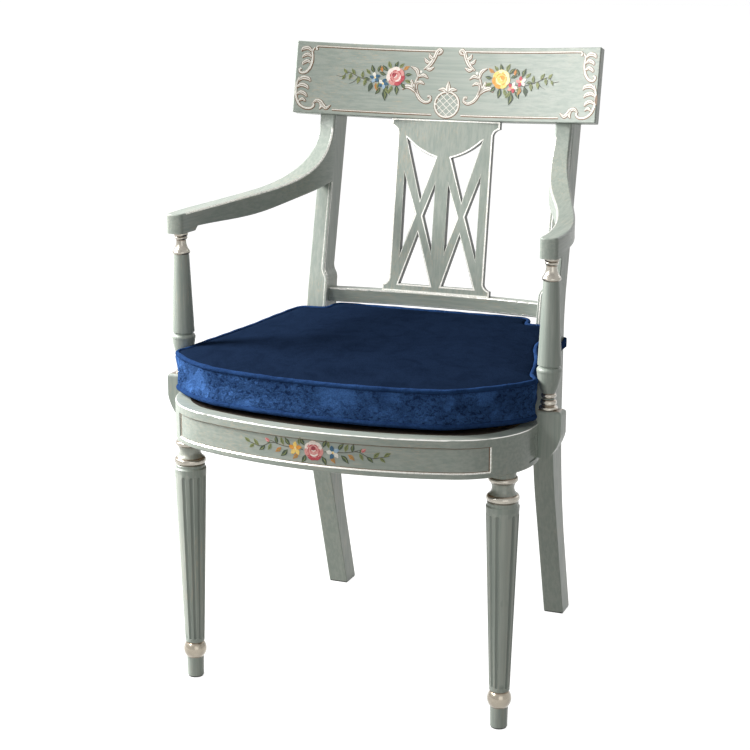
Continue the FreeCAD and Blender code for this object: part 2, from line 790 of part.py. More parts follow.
def back_bore(height, radius, depth):
    """Pin square to the chair's back that starts behind a post and ends at a depth below its back face."""
    face = Vector(post_x, raked_y(back_edge, height), height)
    return pin(radius, face - Vector(0, depth, 0), face + Vector(0, plug_length, 0))


screw_holes = Part.Compound(arm_screws(fit))
save("arm_screws", both_sides(arm_screws(0)))
plugs = [back_bore(height, plug_radius, plug_length).common(post) for height in arm_screw_heights]
save("arm_screw_plugs", both_sides(plugs))
wells = [back_bore(height, plug_radius + fit, head_sink) for height in arm_screw_heights]
for holes in (crest_blank, seat_holes, cross_holes, crest_holes, screw_holes, Part.Compound(wells)):
    post = post.cut(holes)
save_pair("rear_post", post)

# Arms: the plan sweep and the side sweep of each arm, sawn one after the other
def arm_y(share, offset):
    """Y of an arm station: a share of the way from the support to the post, and an offset."""
    return support_y + share * arm_run + offset


def arm_point(row):
    share, offset, rise = row
    return Vector(0, arm_y(share, offset), arm_low + rise * arm_sweep)


inner_points = []
outer_points = []
for share, offset, reach, half_width in arm_plan_shares:
    middle = Vector(post_x + reach * (support_x - post_x), arm_y(share, offset), 0)
    inner_points.append(middle - Vector(half_width, 0, 0))
    outer_points.append(middle + Vector(half_width, 0, 0))
arm_front = support_y - arm_nose_reach
nose = Vector(support_x, arm_front, 0)
plan = chain(Part.__sortEdges__([
    curve(inner_points), curve(outer_points), arc(inner_points[0], nose, outer_points[0]),
    line(inner_points[-1], outer_points[-1])]))
boss_end = Vector(0, support_y + arm_boss_reach, arm_low)
under = [arm_point(row) for row in arm_under_shares]
arm_meets_post = arm_low + arm_meets_post_share * arm_sweep
under.append(Vector(0, raked_y(front_edge, arm_meets_post), arm_meets_post))
over = [arm_point(row) for row in arm_over_shares]
nose_low = Vector(0, over[-1].y, arm_low)
tongue_back = Vector(0, raked_y(front_edge, over[0].z), over[0].z)
arm_side = [line(nose_low, boss_end), line(boss_end, under[0]), curve(under), line(under[-1], tongue_back)]
arm_side += [line(tongue_back, over[0]), curve(over), line(over[-1], nose_low)]
side_sweep = chain(Part.__sortEdges__(arm_side)).extrude(Vector(ear_outer, 0, 0))


def on_nose_corner(edge):
    box = edge.BoundBox
    return box.YMax < support_y and box.XLength < fit and box.YLength < fit


arm_blank = rounded(prism(plan, arm_low - 1, top_z), arm_nose_round, on_nose_corner)
arm = arm_blank.common(side_sweep).cut(above_crest_foot)
tenon_foot = Vector(support_x, support_y, arm_low)
tenon_hole = pin(tenon_radius + fit, tenon_foot, tenon_foot + Vector(0, 0, tenon_length + fit))
arm = rounded(arm, arm_round, lambda edge: edge.Length > arm_run / 2)
arm = arm.cut(tenon_hole).cut(screw_holes)
save_pair("arm", arm)

# Arm supports: a turned column on an ear that laps the side rail
column_steps = [(radius, ear_top + rise, swell) for radius, rise, swell in column_low_steps]
column_steps += [(radius, arm_low - drop, swell) for radius, drop, swell in column_high_steps]
column_steps += [(tenon_radius, arm_low, 0), (tenon_radius, arm_low + tenon_length, 0)]
column = turning(column_steps)
column.translate(Vector(support_x, support_y, 0))
ear_points = [
    Vector(rail_face - ear_root, 0, ear_low), Vector(rail_face + ear_toe, 0, ear_low),
    Vector(ear_outer, 0, ear_bend), Vector(ear_outer, 0, ear_top), Vector(ear_inner, 0, ear_top),
    Vector(ear_inner, 0, rail_top), Vector(rail_face - ear_root, 0, rail_top)]
ear_swell = Vector((rail_face + ear_toe + ear_outer) / 2 + 2, 0, (ear_low + ear_bend) / 2 - 2)
ear_edges = [line(ear_points[0], ear_points[1]), arc(ear_points[1], ear_swell, ear_points[2])]
ear_edges += [line(a, b) for a, b in zip(ear_points[2:], ear_points[3:] + ear_points[:1])]
ear = chain(ear_edges).extrude(Vector(0, 2 * ear_half_depth, 0))
ear.translate(Vector(0, support_y - ear_half_depth, 0))
ear = ear.cut(prism(seat.side_band(-fit, 2 * rail_thick, side_joint, post_front), rail_bottom, rail_top))


def on_ear_top(edge):
    return edge.BoundBox.ZMin > ear_top - 1 and edge.BoundBox.XMax > ear_inner + 1


ear = rounded(ear, ear_round, on_ear_top)
support = ear.fuse(column).cut(support_holes)
save_pair("arm_support", support)

# Pads under the feet
front_pad = Part.makeCylinder(foot_radius - pad_inset, pad_thick, leg_axis)
save("front_foot_pads", both_sides([front_pad]))
pad_corner = Vector(post_inner + pad_inset, foot_front + pad_inset, 0)
pad_end = Vector(post_outer - pad_inset, half_depth - pad_inset, 0)
rear_pad = Part.makeBox(pad_end.x - pad_corner.x, pad_end.y - pad_corner.y, pad_thick, pad_corner)
save("rear_foot_pads", both_sides([rear_pad]))

# Box cushion: drawn-in sides and a crowned top through scaled outlines
cushion_front = cushion_set - half_depth
cushion_rear = post_front + cushion_tab_reach
cushion_tab = post_inner - cushion_tab_gap
notch_y = post_front - cushion_notch_gap
bow_end = Vector(bow_half - cushion_bow_inset, cushion_front + cushion_bow_set, 0)
side_stop = Vector(post_outer + cushion_side_reach, post_front - cushion_side_stop, 0)
turn_mid = Vector(post_outer - cushion_turn_inset, notch_y - cushion_turn_set, 0)
turn_end = Vector(post_outer - cushion_turn_width, notch_y, 0)
notch_end = Vector(cushion_tab + cushion_notch_radius, notch_y, 0)
tab_foot = Vector(cushion_tab, notch_y + cushion_notch_radius, 0)
notch_ease = cushion_notch_radius * (1 - math.sqrt(0.5))
notch_mid = Vector(cushion_tab + notch_ease, notch_y + notch_ease, 0)
tab_head = Vector(cushion_tab, cushion_rear - cushion_tab_radius, 0)
tab_end = Vector(cushion_tab - cushion_tab_radius, cushion_rear, 0)
tab_ease = cushion_tab_radius * (1 - math.sqrt(0.5))
tab_mid = Vector(cushion_tab - tab_ease, cushion_rear - tab_ease, 0)


def half_edge(lag, tuck):
    """Edges of the right half; lag sets the ear further back and tuck the side in, beside the arm support."""
    root = Vector(ear_inner, support_y + lag, 0)
    corner_end, ear_mid, ear_end = [root + Vector(x, y, 0) for x, y in cushion_ear_steps]
    side_start = root - Vector(tuck, cushion_tuck_rise, 0)
    corner_mid = bow_end + (corner_end - bow_end) * cushion_corner_share + Vector(*cushion_corner_bulge, 0)
    return [
        arc(bow_end, corner_mid, corner_end), arc(corner_end, ear_mid, ear_end), line(ear_end, side_start),
        line(side_start, side_stop), arc(side_stop, turn_mid, turn_end), line(turn_end, notch_end),
        arc(notch_end, notch_mid, tab_foot), line(tab_foot, tab_head), arc(tab_head, tab_mid, tab_end)]


cushion_edges = half_edge(cushion_lag, cushion_tuck_right)
cushion_edges += [mirrored(edge) for edge in half_edge(0, cushion_tuck_left)]
cushion_edges.append(arc(Vector(-bow_end.x, bow_end.y, 0), Vector(0, cushion_front, 0), bow_end))
cushion_edges.append(line(tab_end, Vector(-tab_end.x, tab_end.y, 0)))
cushion_edge_wire = Part.Wire(Part.__sortEdges__(cushion_edges))
cushion_centre = Vector(0, (cushion_front + cushion_rear) / 2, 0)
sections = []
for share, size in cushion_side_shares:
    sections.append((share * cushion_edge, size))
for share, size in cushion_dome_shares:
    sections.append((cushion_edge + share * cushion_crown, size))
wires = []
for height, size in sections:
    wire = cushion_edge_wire.copy()
    wire.scale(size, cushion_centre)
    wire.rotate(Vector(0, cushion_front, 0), Vector(1, 0, 0), cushion_tilt * min(1, height / cushion_edge))
    wire.translate(Vector(cushion_shift, 0, rail_top + cushion_lift_gap + height))
    wires.append(wire)
save("seat_cushion", Part.makeLoft(wires, True, True))

# Cushion ties: a band round each post and a flat bow in front of it
def band_box(margin):
    """Box round the right post, a margin outside its faces, over the height of the tie."""
    low = Vector(post_inner - margin, post_front - margin, rail_top + tie_rise)
    high = Vector(post_outer + margin, post_back + margin, rail_top + tie_rise + tie_width)
    return Part.makeBox(high.x - low.x, high.y - low.y, high.z - low.z, low)


band = band_box(tie_play + tie_thick).cut(band_box(tie_play))
bow_low = rail_top + tie_rise + (tie_width - bow_height) / 2
bow_corner = Vector(post_x - bow_width / 2, post_front - tie_play - tie_thick - bow_thick, bow_low)
bow = Part.makeBox(bow_width, bow_thick, bow_height, bow_corner)
save_pair("cushion_tie", band.fuse(bow))
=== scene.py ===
import math

import bmesh
import bpy
from mathutils import Matrix, Vector
from mathutils.bvhtree import BVHTree


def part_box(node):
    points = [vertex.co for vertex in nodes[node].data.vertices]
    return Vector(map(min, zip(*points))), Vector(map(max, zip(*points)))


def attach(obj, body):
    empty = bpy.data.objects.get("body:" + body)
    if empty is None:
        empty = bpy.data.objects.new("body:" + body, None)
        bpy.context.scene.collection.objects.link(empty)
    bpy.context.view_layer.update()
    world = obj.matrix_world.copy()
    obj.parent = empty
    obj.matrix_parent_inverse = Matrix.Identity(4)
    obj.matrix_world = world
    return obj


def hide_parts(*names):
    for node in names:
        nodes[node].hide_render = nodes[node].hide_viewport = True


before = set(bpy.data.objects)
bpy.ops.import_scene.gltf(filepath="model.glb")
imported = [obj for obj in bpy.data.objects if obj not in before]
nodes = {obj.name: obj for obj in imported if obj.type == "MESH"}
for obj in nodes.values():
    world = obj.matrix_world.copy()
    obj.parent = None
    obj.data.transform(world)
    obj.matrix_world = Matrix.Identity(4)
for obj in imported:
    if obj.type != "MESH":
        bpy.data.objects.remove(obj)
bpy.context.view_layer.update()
scene = bpy.context.scene

# Camera: its place and aim in metres, its lens and sensor in millimetres
CAMERA_AT = Vector((0.9144, -2.3513, 1.0770))
CAMERA_TO = Vector((0.0, -0.062, 0.4628))
CAMERA_LENS = 82.49
SENSOR = 36.0

# Light of the surroundings, and the floor
AMBIENT = 0.155
FLOOR_GLOW = 0.96
FLOOR_REACH = 30.0

# Crest front: an arc raked back about its lower front edge
CREST_HALF = 0.252
CREST_SAG = 0.033
CREST_TILT = Matrix.Rotation(math.radians(-12.4), 3, "X")
CREST_LOW = Vector((0.0, 0.2066, 0.8175))
CREST_RADIUS = (CREST_HALF ** 2 + CREST_SAG ** 2) / (2 * CREST_SAG)

# Sunk panel of the front seat rail
RAIL_FRONT = -0.290
RAIL_RADIUS = 0.604
PANEL_SINK = 0.002
PANEL_HALF = 0.2352
PANEL_LOW = 0.3875
PANEL_HIGH = 0.4240
CORNER_FROM = 0.1894
CORNER_AT = Vector((0.1516, -0.1435, 0.0))
CORNER_RADIUS = 0.120
RAIL_LIP = 0.431

# Front legs: radius of the shaft where its line meets the floor, its taper, and where the head begins
SHAFT_RADIUS = 0.0126
SHAFT_TAPER = 0.03297
LEG_HEAD = 0.378

# Silver leaf: softness of its edge, and how metallic it is
LEAF_EDGE = 0.0006
SILVER_METAL = 0.75

# Front of the splat, square to its rake
SPLAT_FRONT = Vector((0.0, -0.280, 0.046)).normalized()

# Silver lines: stations along the arms, posts and lower back rail, widths, and the splat line's lift.
# On the arms, posts and lower back rail the lines are painted highlights along rounded edges.
ARM_LINE = [-0.130 + 0.005 * step for step in range(57)] + [0.155 + 0.0015 * step for step in range(45)]
POST_LINE = [0.446 + 0.004 * step for step in range(66)]
RAIL_LINE = [-0.176 + 0.004 * step for step in range(89)]
ARM_LINE_WIDTH = 0.0036
POST_LINE_WIDTH = 0.0066
RAIL_LINE_WIDTH = 0.0030
SPLAT_LINE_WIDTH = 0.0022
SPLAT_LINE_LIFT = 0.00014

# Painted scrolls with a wider step than this are lobes and get a vein
LOBE_WIDTH = 0.0039

# Units of the tables of painted strokes, in metres
MM = 0.001
TENTH = 0.0001

# Cane of the seat: pitch, and widths of the straight and the slanted strands
CANE_PITCH = 0.0127
CANE_STRAIGHT = 0.0044
CANE_SLANTED = 0.0030

# Cushion: its edge, then the case as it is cut, swells and settles, then its top and welts
CUSHION_TILT = math.radians(1.9)
CUSHION_FRONT = -0.253
CUSHION_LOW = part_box("seat_cushion")[0].z
CUSHION_EDGE = 0.061
CASE_START = (0.994, 0.994, 0.975)
VOXEL = 0.005
SEWN_LOW = 0.16
SEWN_HIGH = 0.84
SWELL_PRESSURE = 4.0
SWELL_FRAMES = 20
SWELL_CAP = 0.008
CASE_WIDER = 1.012
CASE_DEEPER = 1.008
REAR_RISE = 0.002
SIDE_DRAW = 0.012
FOOT_TUCK = 0.016
TOP_FROM = 0.93
WELTS = (("welt_top", 0.94), ("welt_bottom", 0.14))
WELT_RADIUS = 0.0036
WELT_SIDES = 10
WELT_STEP = 0.005
WELT_OUT = 0.0012

# Cushion ties: width, thickness, and section of the strap as shares of their halves
TIE_WIDTH = 0.014
TIE_THICK = 0.0016
TIE_SECTION = (
    (-1.0, 0.0), (-0.94, 0.8), (0.0, 1.0), (0.94, 0.8), (1.0, 0.0), (0.94, -0.8), (0.0, -1.0), (-0.94, -0.8))


def link(obj):
    scene.collection.objects.link(obj)
    return obj


def clean(mesh):
    work = bmesh.new()
    work.from_mesh(mesh)
    bmesh.ops.recalc_face_normals(work, faces=work.faces)
    work.to_mesh(mesh)
    work.free()


def piece_from(name, skin, materials, body, marks=()):
    """A piece from a skin of vertices and faces. Marks are the numbers of the faces' materials."""
    verts, faces = skin
    mesh = bpy.data.meshes.new(name)
    mesh.from_pydata(verts, [], faces)
    for material in materials:
        mesh.materials.append(material)
    if marks:
        mesh.polygons.foreach_set("material_index", marks)
    clean(mesh)
    obj = link(bpy.data.objects.new(name, mesh))
    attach(obj, body)
    return obj


def loft(rings, closed):
    """Skin over a row of rings, joined to its start where it is closed and capped where it isn't."""
    count = len(rings)
    size = len(rings[0])
    faces = []
    for index in range(count if closed else count - 1):
        a = index * size
        b = (index + 1) % count * size
        for side in range(size):
            after = (side + 1) % size
            faces.append((a + side, b + side, b + after, a + after))
    if not closed:
        faces.append(tuple(range(size)))
        faces.append(tuple(range((count - 1) * size, count * size)))
    return [point for ring in rings for point in ring], faces


def joined(skins):
    """One skin from several."""
    verts = []
    faces = []
    for points, polygons in skins:
        first = len(verts)
        verts += points
        faces += [tuple(first + index for index in polygon) for polygon in polygons]
    return verts, faces


def neighbours(points, closed=True):
    """Each point of a line with the one before it and the one after it. An open line's ends are repeated."""
    if closed:
        return zip(points[-1:] + points[:-1], points, points[1:] + points[:1])
    return zip(points[:1] + points[:-1], points, points[1:] + points[-1:])


# Materials


class Tree:
    """The nodes of a material or of the world, added one at a time."""

    def __init__(self, owner):
        owner.use_nodes = True
        self.tree = owner.node_tree
        self.tree.nodes.clear()

    def add(self, kind, inputs=(), **settings):
        node = self.tree.nodes.new(kind)
        for name, value in settings.items():
            setattr(node, name, value)
        for key, value in dict(inputs).items():
            self.fill(node.inputs[key], value)
        return node

    def fill(self, socket, value):
        """Wire a socket, or set its value. Colours come without their alpha."""
        if hasattr(value, "is_output"):
            self.tree.links.new(value, socket)
        else:
            socket.default_value = (*value, 1.0) if socket.type == "RGBA" else value

    def place(self, stretch=(1, 1, 1), turn=(0, 0, 0)):
        """Coordinates of the piece in the chair's frame, stretched and then turned."""
        coords = self.add("ShaderNodeTexCoord").outputs["Object"]
        inputs = {"Vector": coords, "Rotation": turn, "Scale": stretch}
        return self.add("ShaderNodeMapping", inputs).outputs[0]

    def noise(self, scale, detail, roughness, distortion=0.0, stretch=(1, 1, 1), turn=(0, 0, 0)):
        inputs = {"Vector": self.place(stretch, turn), "Scale": scale, "Detail": detail,
                  "Roughness": roughness, "Distortion": distortion}
        return self.add("ShaderNodeTexNoise", inputs).outputs["Fac"]

    def remap(self, value, low, high, to_low=0.0, to_high=1.0):
        inputs = {"Value": value, "From Min": low, "From Max": high, "To Min": to_low, "To Max": to_high}
        node = self.add("ShaderNodeMapRange", inputs, clamp=True, interpolation_type="SMOOTHSTEP")
        return node.outputs["Result"]

    def mix(self, share, a, b):
        return self.add("ShaderNodeMix", {"Factor": share, 6: a, 7: b}, data_type="RGBA").outputs[2]

    def blend(self, value, low, high, a, b, most=1.0):
        """Colour that turns from one into another, at most by a share, while a value rises."""
        return self.mix(self.remap(value, low, high, 0.0, most), a, b)

    def bump(self, height, strength, distance, under=None):
        inputs = {"Strength": strength, "Distance": distance, "Height": height}
        if under is not None:
            inputs["Normal"] = under
        return self.add("ShaderNodeBump", inputs).outputs[0]

    def math(self, operation, a, b=0.0):
        return self.add("ShaderNodeMath", {0: a, 1: b}, operation=operation).outputs[0]

    def times(self, a, b):
        return self.math("MULTIPLY", a, b)

    def plus(self, a, b):
        return self.math("ADD", a, b)

    def less(self, a, b):
        return self.math("SUBTRACT", a, b)

    def larger(self, a, b):
        return self.math("MAXIMUM", a, b)

    def squares(self, a, b):
        return self.plus(self.times(a, a), self.times(b, b))

    def between(self, value, low, risen, falling, high):
        """Share that rises from low, is whole from risen to falling, and ends at high."""
        return self.times(self.remap(value, low, risen), self.remap(value, falling, high, 1.0, 0.0))

    def axis(self, vector, index):
        return self.add("ShaderNodeSeparateXYZ", {0: vector}).outputs[index]

    def coordinate(self, index):
        return self.axis(self.place(), index)

    def lean(self, index):
        """How squarely the surface faces along an axis, either way."""
        return self.math("ABSOLUTE", self.axis(self.add("ShaderNodeTexCoord").outputs["Normal"], index))

    def seen(self):
        """Share that is 1 for rays from the eye, also by way of a mirror or glass."""
        path = self.add("ShaderNodeLightPath").outputs
        eye = self.larger(path["Is Camera Ray"], path["Is Glossy Ray"])
        return self.larger(eye, path["Is Transmission Ray"])


class Shader(Tree):
    """A material with one principled surface."""

    def __init__(self, name):
        self.material = bpy.data.materials.new(name)
        super().__init__(self.material)
        self.bsdf = self.add("ShaderNodeBsdfPrincipled")
        self.add("ShaderNodeOutputMaterial", {"Surface": self.bsdf.outputs[0]})

    def set(self, **values):
        """Fill sockets of the surface, and give its material."""
        for name, value in values.items():
            self.fill(self.bsdf.inputs[name.replace("_", " ")], value)
        return self.material


WHITE = (1.0, 1.0, 1.0)
GREEN = (0.305, 0.350, 0.305)
GREEN_PALE = (0.375, 0.41, 0.36)
GREEN_DEEP = (0.225, 0.275, 0.260)
GREEN_FLUTE_SHADE = (0.150, 0.175, 0.155)
GREEN_ARRIS_HIGHLIGHT = (0.56, 0.58, 0.51)
WARM_STREAK = (0.47, 0.42, 0.32)
SILVER = (0.44, 0.41, 0.35)
SILVER_RIM = (0.16, 0.085, 0.035)
SILVER_DIM = (0.20, 0.18, 0.15)
SILVER_FOOT = (0.34, 0.285, 0.205)
WALL_SHADE = (0.028, 0.032, 0.028)
EDGE_WHITE = (0.88, 0.87, 0.82)


def striped_paint(shader, grain):
    """Dragged paint: the colour and the height of its brush lines, which run along one axis."""
    def drag(across, along, detail, roughness):
        stretch = [across] * 3
        stretch[grain] = along
        return shader.noise(1.0, detail, roughness, stretch=stretch)

    fine = drag(620.0, 34.0, 4.0, 0.6)
    broad = drag(240.0, 7.0, 2.0, 0.55)
    cloud = shader.noise(9.0, 3.0, 0.6)
    base = shader.blend(broad, 0.34, 0.66, GREEN, GREEN_PALE)
    base = shader.blend(fine, 0.52, 0.72, base, GREEN_DEEP, 0.42)
    warm = shader.times(shader.remap(fine, 0.47, 0.36), shader.remap(cloud, 0.46, 0.62))
    base = shader.mix(shader.times(warm, 0.7), base, WARM_STREAK)
    return base, fine


def silver_bands(shader, base, bands):
    """Silver leaf over height bands, dark and warm at their rims and towards the feet. Returns colour and
    share.
    """
    height = shader.coordinate(2)
    share = 0.0
    core = 0.0
    for low, high, strength in bands:
        rim = min(0.0022, (high - low) * 0.3)
        band = shader.between(height, low - LEAF_EDGE, low + LEAF_EDGE, high - LEAF_EDGE, high + LEAF_EDGE)
        share = shader.larger(share, shader.times(band, strength))
        core = shader.larger(core, shader.between(height, low, low + rim, high - rim, high))
    patch = shader.noise(60.0, 3.0, 0.55, stretch=(1, 1, 2.0))
    leaf = shader.blend(patch, 0.42, 0.66, SILVER, SILVER_DIM, 0.45)
    leaf = shader.mix(shader.remap(height, 0.05, 0.12, 0.55, 0.0), leaf, SILVER_FOOT)
    leaf = shader.mix(shader.remap(core, 0.0, 1.0, 0.85, 0.0), leaf, SILVER_RIM)
    return shader.mix(share, base, leaf), share


def flute_shading(shader, base, axis):
    """Painted shade in the flutes of a tapered shaft, and a painted highlight on the arris beside each."""
    x, y, z = (shader.coordinate(index) for index in range(3))
    across = shader.less(shader.math("ABSOLUTE", x), axis.x)
    along = shader.less(y, axis.y)
    reach = shader.math("POWER", shader.squares(across, along), 0.5)
    depth = shader.less(shader.plus(shader.times(z, SHAFT_TAPER), SHAFT_RADIUS), reach)
    zone = shader.between(z, 0.0600, 0.0620, 0.3230, 0.3250)
    arris = shader.between(depth, 0.00002, 0.00012, 0.0003, 0.0006)
    base = shader.mix(shader.times(shader.times(arris, zone), 0.30), base, GREEN_ARRIS_HIGHLIGHT)
    hollow = shader.remap(depth, 0.0005, 0.0014, 0.0, 0.65)
    return shader.mix(shader.times(hollow, zone), base, GREEN_FLUTE_SHADE)


def painted_wood(name, grain, bands=(), lip=None, head=None, flutes=None, wall_axis=None):
    """Satin paint over wood, with silver leaf in bands and a silver-white painted highlight on the eased
    edges above a lip. Above a head the brush lines run level. Flutes and sawn walls are darkened as painted
    shade."""
    shader = Shader(name)
    base, fine = striped_paint(shader, grain)
    metal = 0.0
    if head is not None:
        above = shader.remap(shader.coordinate(2), head - 0.001, head + 0.001)
        base = shader.mix(above, base, striped_paint(shader, 0)[0])
    if flutes is not None:
        base = flute_shading(shader, base, flutes)
    if wall_axis is not None:
        # Painted shade: walls that face across the splat are darkened
        base = shader.mix(shader.remap(shader.lean(wall_axis), 0.2, 0.4, 0.9, 0.0), base, WALL_SHADE)
    if lip is not None:
        # Painted highlight: the eased edges above the lip are painted silver-white, broken up by noise
        highlight_breakup = shader.noise(45.0, 3.0, 0.6)
        edge = shader.between(shader.lean(2), 0.27, 0.43, 0.90, 0.98)
        edge = shader.times(edge, shader.remap(highlight_breakup, 0.30, 0.52, 0.45, 1.0))
        edge = shader.times(edge, shader.remap(shader.coordinate(2), lip, lip + 0.001))
        base = shader.mix(edge, base, EDGE_WHITE)
        metal = shader.times(edge, SILVER_METAL)
    gloss = shader.remap(fine, 0.3, 0.7, 0.30, 0.46)
    if bands:
        base, leaf = silver_bands(shader, base, bands)
        metal = shader.larger(metal, shader.times(leaf, SILVER_METAL))
        bare = shader.less(1.0, leaf)
        fine = shader.times(fine, bare)
        gloss = shader.plus(shader.times(gloss, bare), shader.times(leaf, 0.24))
        shader.set(Coat_Weight=shader.times(leaf, 0.8), Coat_Roughness=0.10)
    relief = shader.bump(fine, 0.10, 0.0006)
    return shader.set(Base_Color=base, Metallic=metal, Normal=relief, Roughness=gloss)


def mottled(name, grain, spread, colours, gloss, relief, metal=0.0):
    """Two colours that mix in a noise, which also gives the relief and the gloss."""
    shader = Shader(name)
    body = shader.noise(*grain)
    shader.set(Base_Color=shader.blend(body, *spread, *colours), Metallic=metal)
    return shader.set(Roughness=shader.remap(body, 0.3, 0.7, *gloss), Normal=shader.bump(body, *relief))


def line_paint(name, colours, metal=0.0):
    """Artist's colour or silver paint over the ground paint, thin in places."""
    return mottled(name, (420.0, 3.0, 0.6), (0.38, 0.66), colours, (0.36, 0.5), (0.15, 0.0004), metal)


def velvet(name, deep, light, crush, sheen=0.1):
    """Crushed velvet: pile that lies in patches, crinkled in some of them and darkened in the creases as
    painted shade, with a sheen at its edges.
    """
    shader = Shader(name)
    patches = shader.noise(26.0, 5.0, 0.65, 0.8)
    crinkle = shader.noise(175.0, 5.0, 0.62, 0.7, (1, 1, 1.3), (0.0, 0.5, 0.4))
    where = shader.remap(shader.noise(22.0, 2.0, 0.5), 0.36, 0.54, 0.25, 1.0)
    pile = shader.noise(700.0, 3.0, 0.6)
    crease_shade = shader.times(shader.remap(crinkle, 0.52, 0.36), shader.times(where, 0.8 * crush))
    colour = shader.mix(shader.remap(patches, 0.22, 0.62, 0.45, 1.0), deep, light)
    colour = shader.mix(crease_shade, colour, deep)
    colour = shader.blend(pile, 0.42, 0.70, colour, deep, 0.45)
    relief = shader.bump(pile, 0.25, 0.0008)
    relief = shader.bump(shader.times(crinkle, where), crush, 0.018, relief)
    relief = shader.bump(patches, 0.15, 0.003, relief)
    shader.set(Base_Color=colour, Roughness=0.88, Normal=relief, Specular_IOR_Level=0.0)
    return shader.set(Sheen_Weight=sheen, Sheen_Roughness=0.45, Sheen_Tint=(0.16, 0.30, 0.85))


def raw_wood():
    shader = Shader("raw_beech")
    rings = shader.noise(1.0, 5.0, 0.6, stretch=(14, 90, 90))
    flecks = shader.noise(1.0, 2.0, 0.5, stretch=(60, 700, 700))
    colour = shader.blend(rings, 0.35, 0.7, (0.60, 0.43, 0.26), (0.46, 0.30, 0.17))
    colour = shader.blend(flecks, 0.58, 0.7, colour, (0.33, 0.20, 0.11), 0.5)
    shader.set(Base_Color=colour, Normal=shader.bump(flecks, 0.12, 0.0005))
    return shader.set(Roughness=shader.remap(rings, 0.3, 0.7, 0.5, 0.66))


def strand(shader, value, width):
    """Share of straight strands that lie a pitch apart."""
    away = shader.math("PINGPONG", value, CANE_PITCH / 2)
    return shader.remap(away, width / 2 - 0.0002, width / 2 + 0.0002, 1.0, 0.0)


def cane(name, woven):
    """Rattan, darkened nearly to black along the front: a painted shadow under the cushion's front edge.
    The panel has the six-way weave, with its octagonal holes painted near black as painted shade.
    """
    shader = Shader(name)
    tone = shader.noise(1.0, 4.0, 0.6, stretch=(40, 40, 40))
    fibre = shader.noise(1.0, 2.0, 0.5, stretch=(900, 900, 200))
    colour = shader.blend(tone, 0.35, 0.65, (0.34, 0.215, 0.10), (0.44, 0.30, 0.15))
    colour = shader.blend(fibre, 0.55, 0.75, colour, (0.20, 0.12, 0.055), 0.5)
    height = fibre
    x, y = (shader.coordinate(index) for index in range(2))
    if woven:
        level = shader.larger(strand(shader, x, CANE_STRAIGHT), strand(shader, y, CANE_STRAIGHT))
        rise = shader.plus(shader.plus(x, y), CANE_PITCH / 2)
        fall = shader.plus(shader.less(x, y), CANE_PITCH / 2)
        slanted = shader.larger(strand(shader, rise, CANE_SLANTED), strand(shader, fall, CANE_SLANTED))
        height = shader.larger(level, shader.times(slanted, 0.8))
        # Painted shade: the holes between the strands are near black
        colour = shader.mix(height, (0.016, 0.012, 0.008), colour)
    # Painted shadow: nearly black along the front, under the cushion's edge
    reach = shader.squares(x, shader.less(y, RAIL_FRONT + RAIL_RADIUS))
    front_shadow = shader.remap(reach, 0.52 ** 2, 0.55 ** 2, 0.0, 0.96)
    colour = shader.mix(front_shadow, colour, (0.010, 0.007, 0.005))
    shader.set(Base_Color=colour, Normal=shader.bump(height, 0.3, 0.0006))
    return shader.set(Roughness=shader.remap(tone, 0.3, 0.7, 0.40, 0.55))


def leg_axis():
    """Axis of the right front leg, from its round foot."""
    foot = [vertex.co for vertex in nodes["front_leg_right"].data.vertices if vertex.co.z < 0.03]
    return sum(foot, Vector((0, 0, 0))) / len(foot)


LEG_SILVER = (
    (0.0322, 0.0558, 1.0), (0.3372, 0.3478, 1.0), (0.3478, 0.3652, 0.2), (0.3652, 0.3728, 1.0))
COLUMN_SILVER = (
    (0.4545, 0.4606, 1.0), (0.4606, 0.4692, 1.0), (0.4714, 0.4784, 1.0),
    (0.6362, 0.6572, 1.0), (0.6582, 0.6628, 1.0), (0.6632, 0.6690, 1.0))

paint_across = painted_wood("paint_across", 0, lip=RAIL_LIP)
paint_crest = painted_wood("paint_crest", 0)
paint_along = painted_wood("paint_along", 1)
paint_side = painted_wood("paint_side", 1, lip=RAIL_LIP)
paint_upright = painted_wood("paint_upright", 2)
paint_splat = painted_wood("paint_splat", 2, wall_axis=1)
paint_leg = painted_wood("paint_leg", 2, LEG_SILVER, RAIL_LIP, LEG_HEAD, leg_axis())
paint_column = painted_wood("paint_column", 2, COLUMN_SILVER)
# Silver paint of the splat's lines, also used for the painted highlights on rounded edges and the sunk panel
silver_line_and_highlight = line_paint("silver_line_and_highlight", (EDGE_WHITE, (0.70, 0.68, 0.62)), SILVER_METAL)
# The top, the welts and the ties use darker copies of the side's velvet: painted shade
velvet_top_shade = velvet("velvet_top_shade", (0.0037, 0.0084, 0.0215), (0.0098, 0.0200, 0.0465), 0.15, 0.0)
velvet_side = velvet("velvet_side", (0.008, 0.022, 0.080), (0.072, 0.182, 0.465), 1.0)
velvet_welt_shade = velvet("velvet_welt_shade", (0.007, 0.018, 0.060), (0.024, 0.064, 0.176), 0.4)
beech = raw_wood()
rattan_weave = cane("rattan_weave", True)
rattan_spline = cane("rattan_spline", False)
steel = mottled("zinc_steel", (1.0, 3.0, 0.5, 0.0, (500, 500, 60)), (0.35, 0.65),
                ((0.52, 0.52, 0.50), (0.38, 0.38, 0.37)), (0.28, 0.45), (0.1, 0.0003), 1.0)
pad_felt = mottled("dark_felt", (700.0, 5.0, 0.7), (0.35, 0.7),
                   ((0.02, 0.02, 0.02), (0.09, 0.085, 0.08)), (0.95, 0.95), (0.6, 0.001))

